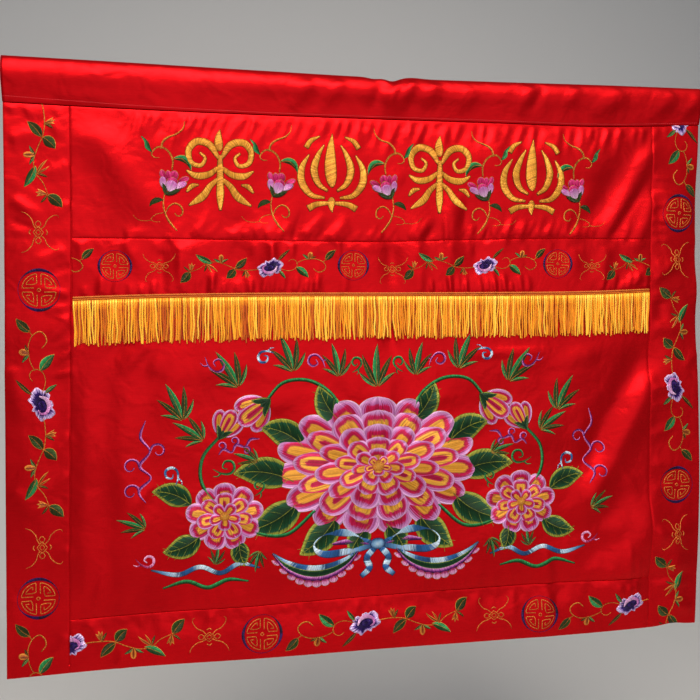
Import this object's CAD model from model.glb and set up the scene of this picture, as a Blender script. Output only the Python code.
"""Dresses the altar frontal: satin panels in their folds, a corded fringe, and raised thread embroidery.

Metres, +Z up. The face looks along -Y. A place on the cloth is given as across (to the right of the
middle) and drop (down from the top edge). Ornaments are drawn in their own millimetres, x to the right
and y up, by a pen that places them on the cloth.
"""

import cmath
import math
from collections import namedtuple

import bmesh
import bpy
import numpy as np
from bpy.props import FloatProperty, FloatVectorProperty, IntProperty, PointerProperty
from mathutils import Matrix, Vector


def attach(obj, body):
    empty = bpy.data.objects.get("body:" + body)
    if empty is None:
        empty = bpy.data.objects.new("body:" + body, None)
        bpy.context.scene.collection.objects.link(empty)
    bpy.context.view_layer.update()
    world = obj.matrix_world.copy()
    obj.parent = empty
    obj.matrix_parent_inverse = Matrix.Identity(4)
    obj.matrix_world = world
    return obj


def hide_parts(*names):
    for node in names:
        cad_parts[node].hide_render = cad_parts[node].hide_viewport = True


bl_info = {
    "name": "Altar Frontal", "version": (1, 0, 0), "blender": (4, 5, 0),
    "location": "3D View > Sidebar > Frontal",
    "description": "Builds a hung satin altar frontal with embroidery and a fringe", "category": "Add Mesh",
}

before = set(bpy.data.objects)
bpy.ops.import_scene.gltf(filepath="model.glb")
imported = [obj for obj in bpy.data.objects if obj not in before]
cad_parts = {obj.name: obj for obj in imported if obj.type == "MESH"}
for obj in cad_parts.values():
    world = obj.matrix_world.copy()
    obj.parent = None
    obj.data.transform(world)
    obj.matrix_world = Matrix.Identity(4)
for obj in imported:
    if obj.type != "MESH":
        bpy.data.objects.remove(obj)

# Units
MM = 0.001
BODY = "root"

# The cloth as it hangs, from the same sizes as its solids
HALF_WIDTH = 0.5
FULL_DROP = 0.814
CLOTH_FRONT = 0.0008
ROD_LINE_SLOPE = 0.0106

# How far down each level line hangs, at seven even stations across
Level = namedtuple("Level", "left half_left near_left middle near_right half_right right")
CROWN = Level(-0.0100, -0.0075, -0.0045, -0.0020, -0.0030, -0.0050, -0.0060)
HEADING_SEAM = Level(0.0495, 0.0530, 0.0547, 0.0550, 0.0547, 0.0547, 0.0478)
STRIP_SEAM = Level(0.2270, 0.2270, 0.2280, 0.2290, 0.2240, 0.2220, 0.2220)
FRINGE_SEAM = Level(0.3130, 0.3070, 0.3050, 0.3050, 0.3050, 0.3035, 0.2970)
LOWER_SEAM = Level(0.7440, 0.7410, 0.7405, 0.7380, 0.7370, 0.7360, 0.7360)
HEM = Level(0.8155, 0.8120, 0.8140, 0.8140, 0.8150, 0.8155, 0.8130)

# How far across each upright line stands, at five even stations from top to hem
Upright = namedtuple("Upright", "head upper middle lower foot")
LEFT_EDGE = Upright(-0.5000, -0.5000, -0.5015, -0.5030, -0.5045)
LEFT_SEAM = Upright(-0.4155, -0.4155, -0.4180, -0.4215, -0.4240)
RIGHT_SEAM = Upright(0.4190, 0.4190, 0.4205, 0.4215, 0.4220)
RIGHT_EDGE = Upright(0.4960, 0.4960, 0.5005, 0.5060, 0.5015)

# Short dips in a level line: down where the depth is positive and up where it is negative
Dip = namedtuple("Dip", "across half_width depth")
DIPS = {
    CROWN: (Dip(-0.006, 0.011, 0.0022), Dip(0.020, 0.012, 0.0045), Dip(0.050, 0.016, -0.0015)),
    HEM: (Dip(0.462, 0.020, -0.0040),),
}

# Main folds: a ridge where proud is positive and a trough where it is negative
Fold = namedtuple("Fold", "from_across from_drop to_across to_drop half_width proud")


def folds(*rows):
    """Folds from rows of their six numbers."""
    return tuple(Fold(*row) for row in rows)


FOLDS = folds(
    (0.432, 0.4, 0.292, 0.67, 0.024, 0.0125), (0.436, 0.35, 0.312, 0.61, 0.027, -0.011),
    (0.45, 0.61, 0.33, 0.79, 0.042, 0.012), (0.296, 0.668, 0.396, 0.65, 0.018, 0.003),
    (0.428, 0.06, 0.334, 0.238, 0.014, 0.005), (0.424, 0.04, 0.3, 0.225, 0.025, -0.005),
    (0.43, 0.142, 0.388, 0.25, 0.013, 0.0045), (-0.412, 0.048, -0.282, 0.222, 0.024, 0.0038),
    (-0.425, 0.1, -0.35, 0.25, 0.034, -0.0016), (0.021, 0.19, 0.021, 0.42, 0.015, -0.006),
    (0.055, 0.17, 0.052, 0.31, 0.018, 0.003), (-0.149, 0.19, -0.15, 0.31, 0.016, 0.0045),
    (-0.195, 0.18, -0.2, 0.31, 0.018, -0.0035), (-0.262, 0.215, -0.275, 0.32, 0.018, 0.004),
    (0.108, 0.15, 0.104, 0.29, 0.014, 0.004), (0.142, 0.15, 0.15, 0.3, 0.018, -0.003),
    (-0.47, 0.08, -0.47, 0.76, 0.03, 0.003), (-0.396, 0.36, -0.404, 0.78, 0.018, 0.0036),
    (-0.344, 0.38, -0.352, 0.77, 0.02, 0.003), (0.502, 0.07, 0.505, 0.45, 0.03, -0.006),
    (0.425, 0.178, 0.5, 0.17, 0.034, 0.0045), (0.465, 0.64, 0.46, 0.83, 0.024, 0.005),
    (0.252, 0.66, 0.256, 0.83, 0.016, 0.0035), (0.295, 0.65, 0.3, 0.814, 0.024, 0.0035),
    (-0.25, 0.56, -0.17, 0.8, 0.045, 0.003), (-0.06, 0.4, -0.04, 0.8, 0.07, 0.003),
    (0.15, 0.42, 0.18, 0.62, 0.05, -0.003), (-0.52, 0.098, 0.26, 0.104, 0.034, 0.0026),
    (0.06, 0.094, 0.5, 0.088, 0.042, 0.0075), (-0.56, 0.741, 0.56, 0.738, 0.019, -0.004),
    (-0.56, 0.796, 0.56, 0.794, 0.026, 0.0034),
)
# Over what share of its length a main fold rises at each end, and a crease after its start and to its end
FOLD_FADE = 0.28
CREASE_RISE = 0.16
CREASE_FALL = 0.60

# Where sewing holds the cloth flatter: how much of a main fold is lost there, and over what distance
Stiff = namedtuple("Stiff", "line reach share_lost")
STIFF_LINES = (
    Stiff(HEADING_SEAM, 0.035, 1.0), Stiff(STRIP_SEAM, 0.010, 0.25), Stiff(FRINGE_SEAM, 0.028, 0.85),
    Stiff(LOWER_SEAM, 0.010, 0.25),
)

# Fine creases that the solids leave out, in millimetres, from where each is strongest to where it dies
CREASES = folds(
    # Upper panel, left of the middle
    (-312, 56, -328, 100, 7, 2.2), (-215, 224, -152, 206, 10, 2.4), (-122, 230, -100, 172, 6, -2.4),
    (-106, 224, -70, 184, 6, 2.2), (-92, 230, -54, 190, 5, -1.8), (-70, 232, -38, 188, 9, 2.8),
    (-250, 228, -232, 176, 9, 1.8), (-20, 66, -40, 120, 9, 1.8), (-350, 224, -300, 214, 9, 1.6),
    (-292, 232, -262, 196, 8, 1.6),
    # Upper panel, right of the middle
    (52, 228, 84, 188, 6, 2.4), (66, 230, 92, 196, 5, -1.8), (100, 232, 97, 176, 4, 1.6),
    (122, 232, 134, 150, 7, -2.4), (160, 230, 166, 182, 6, -2.2), (186, 232, 204, 184, 6, 2.4),
    (208, 230, 226, 190, 6, 1.8), (350, 228, 424, 118, 7, -3.0), (372, 230, 390, 190, 5, 1.6),
    (45, 66, 52, 118, 12, 2.4), (92, 64, 104, 134, 13, 2.6), (176, 62, 170, 120, 12, 2.2),
    (255, 62, 268, 118, 12, 2.4), (318, 62, 300, 100, 9, 2.2), (352, 60, 330, 92, 6, 2.0),
    (370, 58, 350, 84, 5, 1.6),
    # Upper strip
    (-350, 226, -320, 276, 9, 2.8), (-298, 240, -300, 306, 8, -2.0), (-274, 230, -276, 306, 6, 1.8),
    (-150, 226, -148, 270, 6, 2.4), (-122, 226, -126, 270, 8, 2.2), (-84, 306, -86, 252, 7, 2.0),
    (-56, 226, -57, 270, 5, 1.6), (-50, 306, -46, 262, 7, 1.8), (108, 308, 107, 262, 4, 2.2),
    (131, 308, 130, 268, 4, 1.8), (152, 308, 148, 266, 5, 1.8), (174, 308, 170, 262, 5, 2.2),
    (192, 308, 186, 270, 5, 1.8), (216, 308, 212, 268, 6, 1.6), (418, 262, 364, 308, 12, 3.4),
    (404, 274, 372, 306, 6, 1.8), (420, 286, 396, 308, 5, 1.6), (350, 228, 334, 306, 11, 2.6),
    (300, 232, 292, 290, 12, 2.0), (-404, 226, -400, 280, 8, 2.0), (-376, 306, -372, 262, 7, 1.8),
    (-228, 306, -234, 262, 6, 1.8), (-180, 306, -186, 256, 6, 1.8), (60, 306, 66, 258, 8, 1.6),
    # Main panel
    (-316, 362, -364, 418, 10, 3.0), (-346, 358, -376, 400, 9, -2.2), (-410, 404, -452, 412, 4, 1.6),
    (-404, 366, -452, 404, 4, 1.8), (-406, 358, -442, 376, 4, 1.2), (-390, 742, -372, 640, 7, 2.2),
    (-218, 744, -224, 684, 6, 1.8), (-200, 744, -208, 696, 5, 1.4), (386, 744, 383, 660, 7, 2.6),
    (404, 744, 398, 690, 5, 1.8), (262, 744, 256, 680, 7, 2.4), (-100, 744, -96, 708, 5, 1.4),
    (96, 744, 92, 706, 5, 1.4), (-240, 744, -236, 700, 6, 1.4), (320, 744, 330, 700, 8, 1.8),
    # Lower strip
    (-400, 744, -376, 788, 7, 2.2), (-360, 814, -352, 780, 7, 2.4), (-236, 742, -240, 800, 8, 1.8),
    (-30, 742, -36, 776, 7, 1.8), (-6, 742, -2, 772, 6, 1.6), (144, 742, 150, 786, 9, 2.0),
    (-26, 814, -28, 784, 6, 1.6), (388, 741, 388, 780, 5, 2.4), (400, 741, 402, 774, 4, 1.8),
    (206, 742, 204, 800, 7, 1.6), (262, 742, 258, 790, 8, 2.0), (-300, 742, -306, 780, 8, 1.4),
    (60, 814, 66, 780, 8, 1.4), (310, 814, 304, 776, 7, 1.6), (-120, 814, -112, 782, 7, 1.4),
    # Left border
    (-416, 178, -442, 206, 6, 1.8), (-492, 174, -448, 204, 7, 2.0), (-494, 204, -452, 218, 6, -1.6),
    (-418, 240, -476, 266, 8, 2.4), (-416, 262, -452, 278, 5, -1.6), (-416, 302, -476, 290, 5, 2.0),
    (-416, 318, -460, 324, 4, 1.4), (-416, 328, -464, 380, 10, 3.0), (-492, 392, -482, 480, 13, 2.6),
    (-418, 486, -450, 526, 7, 2.0), (-420, 540, -452, 570, 6, 1.6), (-494, 100, -446, 84, 9, 1.8),
    (-416, 128, -450, 150, 9, 2.0), (-496, 560, -460, 600, 10, 1.8), (-420, 640, -448, 690, 9, 1.6),
    (-498, 700, -476, 790, 9, 1.8), (-424, 760, -450, 800, 8, 1.6), (-440, 72, -424, 100, 7, 1.6),
    # Right border
    (420, 128, 462, 134, 4, 1.6), (420, 150, 466, 158, 4, 1.6), (420, 172, 452, 168, 4, 1.4),
    (420, 190, 456, 198, 4, 1.8), (420, 206, 452, 214, 4, 1.6), (420, 222, 462, 224, 4, 1.8),
    (422, 264, 480, 256, 13, 3.2), (422, 288, 470, 244, 7, 2.0), (422, 302, 460, 306, 5, 1.6),
    (436, 312, 438, 362, 10, -2.4), (424, 350, 504, 364, 10, 2.6), (422, 446, 482, 444, 7, 2.8),
    (422, 474, 466, 470, 6, 2.2), (424, 560, 500, 572, 12, 2.4), (424, 672, 510, 664, 15, 4.0),
    (424, 726, 506, 714, 13, 2.8), (424, 752, 506, 742, 10, 2.6), (424, 604, 480, 596, 9, 1.8),
    (500, 390, 470, 430, 8, 1.6), (424, 520, 470, 500, 8, 1.8), (496, 790, 450, 776, 9, 2.0),
)

# Soft dents in the middle of the cloth, in millimetres, which fade at both ends
DENTS = folds(
    (-176, 108, -200, 178, 13, 2.0), (0, 156, 52, 120, 11, 1.6), (190, 172, 272, 148, 15, 2.2),
    (290, 178, 350, 146, 12, 1.8), (222, 217, 282, 211, 9, 2.2), (266, 219, 332, 213, 9, 2.6),
    (-290, 420, -150, 390, 17, 2.4), (-344, 604, -306, 550, 6, 2.0), (-300, 500, -278, 350, 18, 2.6),
    (160, 404, 290, 396, 14, 2.8), (240, 408, 370, 382, 15, 4.0), (250, 440, 350, 404, 18, 2.8),
    (406, 610, 372, 562, 6, 1.8), (-200, 470, -96, 436, 15, 2.4), (40, 468, 132, 440, 12, 2.0),
    (100, 504, 190, 476, 12, 2.0), (350, 450, 326, 580, 18, -2.6), (6, 530, 20, 360, 13, 2.4),
    (0, 480, -84, 376, 17, 2.4), (398, 466, 430, 420, 11, 2.4), (-380, 470, -300, 700, 26, 3.4),
    (-330, 700, -120, 640, 30, 2.8), (40, 700, 300, 640, 34, 3.0), (-160, 560, 100, 600, 40, 2.6),
    (-240, 640, -60, 720, 24, 2.4), (120, 560, 300, 480, 30, 2.6), (60, 730, 240, 712, 14, 2.2),
    (-300, 730, -80, 722, 14, 2.0), (-400, 560, -340, 450, 20, 2.2), (110, 391, 300, 385, 7, 3.4),
    (-320, 420, -296, 376, 8, 2.2),
)
DENT_FADE = 0.45

# Rows of small puckers where a longer edge is eased into a seam. Reach is negative above the seam.
Pucker = namedtuple("Pucker", "line from_across to_across pitch reach lean half_width proud")
PUCKERS = tuple(
    Pucker(*row)
    for row in (
        (HEADING_SEAM, -340, -262, 15, 50, 0.4, 4.8, 1.5),
        (HEADING_SEAM, -262, -140, 12, 70, 0.5, 4.4, 2.4), (HEADING_SEAM, -140, 30, 16, 56, 0.35, 4.8, 1.6),
        (HEADING_SEAM, 30, 410, 17, 52, 0.35, 5.2, 1.7), (HEADING_SEAM, -490, -420, 16, 26, -0.3, 5.0, 1.5),
        (HEADING_SEAM, 430, 490, 14, 26, 0.4, 5.0, 1.5), (STRIP_SEAM, -260, 60, 17, -26, 0.9, 4.6, 1.4),
        (STRIP_SEAM, 120, 330, 14, -34, 0.6, 4.8, 1.8), (STRIP_SEAM, -400, 410, 26, 24, 0.1, 6.0, 0.9),
        (FRINGE_SEAM, -400, -240, 18, -32, 0.2, 5.0, 1.8),
        (FRINGE_SEAM, -235, -80, 15, -38, 0.15, 4.6, 2.2), (FRINGE_SEAM, 80, 230, 12, -36, -0.1, 4.4, 2.2),
        (FRINGE_SEAM, 340, 415, 11, -36, 0.4, 4.2, 2.4), (LOWER_SEAM, -400, 410, 22, 20, 0.1, 5.5, 1.1),
        (LOWER_SEAM, -400, 410, 19, -26, 0.2, 6.0, 1.3),
    )
)
PUCKER_START = 3
PUCKER_SEED = 11

# The least and greatest share of its row's values that one pucker has
REACH_SHARES = (0.55, 1.15)
LEAN_SHARES = (0.6, 1.4)
WIDTH_SHARES = (0.8, 1.25)
PROUD_SHARES = (0.5, 1.2)
PITCH_SHARES = (0.75, 1.3)

# Creases in the front of the heading, in millimetres: drops are below the top edge
HEADING_CREASES = folds(
    (-260, 20, 560, 18, 13, 2.6), (8, 2, -16, 60, 9, -3.2), (52, 4, 22, 50, 8, 3.2), (30, 2, 6, 46, 6, 2.6),
    (84, 4, 58, 48, 9, 2.4), (-50, 8, -84, 56, 9, 2.2), (-92, 12, -132, 56, 10, 2.4),
    (228, 4, 200, 54, 8, 2.4), (246, 4, 222, 48, 6, -1.8), (372, 10, 306, 56, 13, 2.6),
    (452, 8, 408, 56, 11, 2.4), (494, 10, 456, 56, 8, 2.0), (-440, 46, -340, 52, 8, 1.0),
    (140, 12, 110, 52, 10, 1.8), (300, 6, 268, 44, 9, 1.8), (-380, 10, -420, 50, 14, 1.4),
    (-230, 8, -270, 52, 13, 1.6),
)

# Sewing: cloth sheets, their turned edges and the grooves that the seams pull in
SHEET_THICKNESS = 0.00035
TURN_RADIUS = 0.0004
TURN_STEPS = 4
UNDER_RUN = 0.0016
UNDER_DEPTH = 0.00095
SEAM_EASE = 0.00004
EDGE_MARGIN = 0.0004
EDGE_SAMPLES = 40
ALLOWANCE = 0.011
ALLOWANCE_CELLS = 3
GROOVE_HALF_WIDTH = 0.0028
GROOVE_DEPTH = 0.0003

# How far apart the cloth is read to find its normal
NORMAL_STEP = 0.0004


def lerp(start, end, share):
    """The value that lies a share of the way from start to end."""
    return start + (end - start) * share


def eased(stations, share):
    """A smooth curve through evenly spaced stations, read at shares of its length from 0 to 1."""
    values = np.asarray(stations)
    ends = np.concatenate(([2 * values[0] - values[1]], values, [2 * values[-1] - values[-2]]))
    place = np.clip(share, 0.0, 1.0) * (len(values) - 1)
    at = np.minimum(place.astype(int), len(values) - 2)
    before, here, after, beyond = (ends[at + step] for step in range(4))
    t = place - at
    return (
        here * (1 + 2 * t) * (1 - t) ** 2
        + (after - before) / 2 * t * (1 - t) ** 2
        + after * t * t * (3 - 2 * t)
        + (beyond - here) / 2 * t * t * (t - 1)
    )


def drop_of(level, across):
    """How far down a level line hangs at places across."""
    across = np.asarray(across, float)
    drop = eased(level, (across + HALF_WIDTH) / (2 * HALF_WIDTH))
    for dip in DIPS.get(level, ()):
        drop = drop + dip.depth * np.exp(-(((across - dip.across) / dip.half_width) ** 2))
    return drop


def across_of(upright, drop):
    """How far across an upright line stands at drops."""
    return eased(upright, np.asarray(drop, float) / FULL_DROP)


def fold_height(fold, across, drop, rise, fall):
    """How far one fold stands proud: a soft ridge that rises and falls over shares of its length."""
    run_across = fold.to_across - fold.from_across
    run_drop = fold.to_drop - fold.from_drop
    length = math.hypot(run_across, run_drop)
    off_across, off_drop = across - fold.from_across, drop - fold.from_drop
    share = (off_across * run_across + off_drop * run_drop) / length**2
    aside = (off_across * run_drop - off_drop * run_across) / length
    fade = np.clip(np.minimum(share / rise, (1 - share) / fall), 0.0, 1.0)
    return fold.proud * fade * fade * (3 - 2 * fade) * np.exp(-((aside / fold.half_width) ** 2))


def fine_height(folds, across, drop, rise, fall):
    """How far a set of fine folds, given in millimetres, stands proud."""
    across, drop = across / MM, drop / MM
    proud = np.zeros(across.shape)
    for fold in folds:
        margin = 3 * fold.half_width
        near = (
            (across > min(fold.from_across, fold.to_across) - margin)
            & (across < max(fold.from_across, fold.to_across) + margin)
            & (drop > min(fold.from_drop, fold.to_drop) - margin)
            & (drop < max(fold.from_drop, fold.to_drop) + margin)
        )
        proud[near] += fold_height(fold, across[near], drop[near], rise, fall)
    return proud * MM


def puckers():
    """The small folds along the eased seams, each at its own uneven place."""
    rng = np.random.default_rng(PUCKER_SEED)
    made = []
    for row in PUCKERS:
        across = row.from_across
        while across < row.to_across:
            start_drop = float(drop_of(row.line, across * MM)) / MM + math.copysign(PUCKER_START, row.reach)
            reach = row.reach * rng.uniform(*REACH_SHARES)
            lean = row.lean * rng.uniform(*LEAN_SHARES)
            half_width = row.half_width * rng.uniform(*WIDTH_SHARES)
            proud = row.proud * rng.uniform(*PROUD_SHARES)
            made.append(
                Fold(across, start_drop, across - lean * reach, start_drop + reach, half_width, proud)
            )
            across += row.pitch * rng.uniform(*PITCH_SHARES)
    return tuple(made)


SEAM_CREASES = CREASES + puckers()


def groove(across, drop):
    """How far a place is drawn in by the stitching of the seams near it."""
    away = [drop - drop_of(level, across) for level in (HEADING_SEAM, STRIP_SEAM, FRINGE_SEAM, LOWER_SEAM)]
    away += [across - across_of(upright, drop) for upright in (LEFT_SEAM, RIGHT_SEAM)]
    return GROOVE_DEPTH * np.exp(-((np.abs(away).min(axis=0) / GROOVE_HALF_WIDTH) ** 2))


def depth(across, drop):
    """The cloth's Y at places on it. It hangs at Y 0 and its folds stand out towards -Y."""
    across, drop = np.broadcast_arrays(np.asarray(across, float), np.asarray(drop, float))
    proud = sum(fold_height(fold, across, drop, FOLD_FADE, FOLD_FADE) for fold in FOLDS)
    for stiff in STIFF_LINES:
        away = (drop - drop_of(stiff.line, across)) / stiff.reach
        proud = proud * (1 - stiff.share_lost * np.exp(-away * away))
    proud = proud + fine_height(SEAM_CREASES, across, drop, CREASE_RISE, CREASE_FALL)
    proud = proud + fine_height(DENTS, across, drop, DENT_FADE, DENT_FADE)
    return groove(across, drop) - proud


def cloth_face(across, drop):
    """How far the cloth's face stands out towards the front at places on it."""
    return CLOTH_FRONT - depth(across, drop)


def to_space(across, drop, outward):
    """Points in space at places on the cloth, at distances out from the upright it hangs in."""
    return np.stack([across, -outward, ROD_LINE_SLOPE * across - drop], -1)


def hung(across, drop, outward):
    """Points in space of places on the cloth, moved outward along the cloth's normal."""
    here = depth(across, drop)
    slope_across = (depth(across + NORMAL_STEP, drop) - here) / NORMAL_STEP
    slope_drop = (depth(across, drop + NORMAL_STEP) - here) / NORMAL_STEP
    normal = np.stack([slope_across, -np.ones_like(here), -slope_drop], -1)
    normal /= np.linalg.norm(normal, axis=-1, keepdims=True)
    return to_space(across, drop, CLOTH_FRONT - here) + normal * np.asarray(outward)[..., None]


def linear(code):
    """The linear colour of an sRGB hex code, with alpha."""
    shares = [int(code[place : place + 2], 16) / 255 for place in (1, 3, 5)]
    return tuple(c / 12.92 if c <= 0.04045 else ((c + 0.055) / 1.055) ** 2.4 for c in shares) + (1.0,)


def node(tree, kind, settings=(), inputs=(), stops=()):
    """Adds a node with its settings, inputs and a ramp's stops by place, and gives back its outputs."""
    made = tree.nodes.new(f"ShaderNode{kind}")
    for name, value in dict(settings).items():
        setattr(made, name, value)
    for socket, value in dict(inputs).items():
        if isinstance(value, bpy.types.NodeSocket):
            tree.links.new(value, made.inputs[socket])
        else:
            made.inputs[socket].default_value = value
    if stops:
        elements = made.color_ramp.elements
        while len(elements) < len(stops):
            elements.new(0.5)
        for element, (position, colour) in zip(elements, stops):
            element.position = position
            element.color = linear(colour) if isinstance(colour, str) else colour
    return made.outputs


def blank_material(name):
    """A material with an empty node tree."""
    made = bpy.data.materials.new(name)
    made.use_nodes = True
    made.node_tree.nodes.clear()
    return made, made.node_tree


SCALED_SUM = {"operation": "MULTIPLY_ADD"}
PRODUCT = {"operation": "MULTIPLY"}


def polyester_satin(settings):
    """Polyester satin, woven with long floats: a deep red that flares along its folds.

    The floats run across, so the gloss is stretched down the cloth. The threads are about a quarter of
    a millimetre apart and are drawn six times coarser, because they are too fine to show.
    """
    made, tree = blank_material("polyester_satin_red")
    place = node(tree, "UVMap", {"uv_map": "cloth"})["UV"]
    floats = node(
        tree, "Mapping", inputs={"Vector": place, "Scale": (60.0, 1 / settings.float_spacing, 1.0)}
    )["Vector"]
    streak = node(
        tree, "TexNoise", inputs={"Vector": floats, "Scale": 1.0, "Detail": 3.0, "Roughness": 0.6}
    )["Fac"]
    cloud = node(
        tree, "TexNoise", inputs={"Vector": place, "Scale": 9.0, "Detail": 3.0, "Roughness": 0.55}
    )["Fac"]
    crumple = node(
        tree, "TexNoise",
        inputs={"Vector": place, "Scale": 30.0, "Detail": 2.0, "Roughness": 0.5, "Distortion": 0.4},
    )["Fac"]
    tone = node(tree, "Math", PRODUCT, {0: streak, 1: 0.35})[0]
    tone = node(tree, "Math", SCALED_SUM, {0: cloud, 1: 0.65, 2: tone})[0]
    stops = ((0.25, (*settings.deep_red, 1.0)), (0.75, (*settings.light_red, 1.0)))
    colour = node(tree, "ValToRGB", inputs={"Fac": tone}, stops=stops)["Color"]
    fine = node(tree, "Bump", inputs={"Height": streak, "Strength": 0.10, "Distance": 0.0004})["Normal"]
    soft = node(
        tree, "Bump", inputs={"Height": crumple, "Normal": fine, "Strength": 0.38, "Distance": 0.005}
    )["Normal"]
    tangent = node(tree, "Tangent", {"direction_type": "UV_MAP", "uv_map": "cloth"})["Tangent"]
    shader = node(
        tree, "BsdfPrincipled",
        inputs={
            "Base Color": colour, "Normal": soft, "Tangent": tangent, "Roughness": settings.roughness,
            "Metallic": 0.74, "IOR": 1.5, "Specular IOR Level": 0.5, "Specular Tint": linear("#FF8C82"),
            "Anisotropic": 0.5, "Sheen Weight": 0.1, "Sheen Roughness": 0.4,
            "Sheen Tint": linear("#FF3C32"),
        },
    )
    node(tree, "OutputMaterial", inputs={"Surface": shader["BSDF"]})
    return made


GOLD = "gold_thread"
SILK = "silk_thread"

# Thread finishes. Measure says what the colour stops are read by: "rim" is 0 in the middle of a shape
# and 1 at its rim, "side" goes from one side to the other, and "along" from its start to its end.
# Jag is how unevenly the threads end where one colour meets the next, and spread how far they differ
# from each other in lightness.
Thread = namedtuple(
    "Thread", "name slot measure stops jag roughness width_mm spread", defaults=(0.42, 0.8, 0.7)
)
GOLD_FILL = Thread(
    "gold_satin_stitch", GOLD, "along", ((0.0, "#B97823"), (0.5, "#D28C2A"), (1.0, "#E1A03A")), 1.0, 0.42,
    0.75, 0.45,
)
BROWN_EDGE = Thread("brown_edge_thread", GOLD, "along", ((0.0, "#281405"), (1.0, "#4B280A")), 0.8, 0.6)
STEM = Thread(
    "orange_stem_thread", GOLD, "side", ((0.0, "#783A0C"), (0.5, "#AA641A"), (1.0, "#C88234")), 0.3, 0.45
)
BUD = Thread(
    "orange_bud_thread", GOLD, "rim", ((0.0, "#5A1E08"), (0.45, "#964614"), (0.8, "#C87D2D")), 0.3, 0.45
)
LEAF = Thread(
    "green_leaf_thread", SILK, "side",
    ((0.0, "#0F3214"), (0.44, "#194B23"), (0.5, "#1E6E37"), (1.0, "#2D8C50")), 0.05,
)
DARK_LEAF = Thread(
    "dark_leaf_thread", SILK, "side",
    ((0.0, "#1E2808"), (0.44, "#28320F"), (0.5, "#1E2D0A"), (1.0, "#324B19")), 0.05, 0.45,
)
INDIGO = Thread(
    "indigo_petal_thread", SILK, "rim",
    ((0.0, "#0F0323"), (0.55, "#1E0846"), (0.72, "#321464"), (0.76, "#9173AF"), (1.0, "#D2B9DC")), 0.2,
)
INDIGO_HEART = Thread("indigo_heart_thread", SILK, "along", ((0.0, "#0F0323"), (1.0, "#280A5A")), 0.6)
LILAC = Thread(
    "lilac_petal_thread", SILK, "along",
    ((0.0, "#D7AFCD"), (0.45, "#C387B4"), (0.8, "#AF5A9B"), (1.0, "#BE7DB4")), 0.25,
)
MAGENTA = Thread(
    "magenta_petal_thread", SILK, "along", ((0.0, "#6E0528"), (0.6, "#AF0F50"), (1.0, "#C83773")), 0.4
)
RING = Thread("purple_ring_thread", SILK, "along", ((0.0, "#1E0523"), (1.0, "#2D0A4B")), 1.0, 0.45)
FRET = Thread(
    "amber_fret_thread", GOLD, "side", ((0.0, "#963C10"), (0.5, "#B96423"), (1.0, "#D28237")), 0.3, 0.45
)
PINK_BANDS = Thread(
    "pink_banded_petal_thread", SILK, "rim",
    (
        (0.0, "#B4781E"), (0.36, "#CD8C2D"), (0.4, "#96052D"), (0.64, "#B40F46"), (0.68, "#A5508C"),
        (0.86, "#C382B4"), (1.0, "#D7AAD2"),
    ),
    0.12, 0.4, 0.9,
)
GOLD_BANDS = Thread(
    "gold_banded_petal_thread", SILK, "rim",
    (
        (0.0, "#8C052D"), (0.2, "#A50A3C"), (0.24, "#C8872D"), (0.5, "#D79B37"), (0.54, "#AA0F41"),
        (0.74, "#B92355"), (0.78, "#B4649B"), (1.0, "#D2A0CD"),
    ),
    0.12, 0.4, 0.9,
)
BROAD_LEAF = Thread(
    "broad_leaf_thread", SILK, "rim",
    ((0.0, "#08230F"), (0.5, "#0F3719"), (0.76, "#14462D"), (0.79, "#6E7323"), (1.0, "#9B9B3C")), 0.1, 0.42,
    0.9,
)
LIME = Thread("lime_vein_thread", GOLD, "along", ((0.0, "#5A6419"), (1.0, "#91912D")), 0.6, 0.45)
PETAL_EDGE = Thread("ochre_edge_thread", GOLD, "along", ((0.0, "#6E460F"), (1.0, "#A0732D")), 0.8, 0.5)
HEART = Thread(
    "golden_heart_thread", SILK, "rim", ((0.0, "#D2963C"), (0.7, "#BE7828"), (1.0, "#8C410F")), 0.3
)
RIBBON_KNOT = Thread(
    "pale_ribbon_thread", SILK, "rim", ((0.0, "#AFC8D7"), (0.6, "#6E96B9"), (1.0, "#1E3C64")), 0.3
)
RIBBON = Thread(
    "blue_ribbon_thread", SILK, "along",
    (
        (0.0, "#1E3C64"), (0.1, "#2D5F96"), (0.13, "#B4CDDC"), (0.24, "#8CAFCD"), (0.27, "#285587"),
        (0.42, "#1E3C64"), (0.46, "#A5C3D7"), (0.58, "#C8D7E1"), (0.61, "#2D5F96"), (0.74, "#1E4678"),
        (0.78, "#B9CDDC"), (0.9, "#5A8CB9"), (1.0, "#1E3C64"),
    ),
    0.05,
)
RUFFLE = Thread(
    "rose_ruffle_thread", SILK, "along",
    ((0.0, "#7D0A3C"), (0.4, "#A53769"), (0.45, "#C878A5"), (1.0, "#DCA5C8")), 0.2,
)
SCROLL = Thread(
    "purple_scroll_thread", SILK, "side",
    ((0.0, "#320A3C"), (0.45, "#5F1464"), (0.55, "#963C8C"), (1.0, "#C382B4")), 0.12,
)


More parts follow.
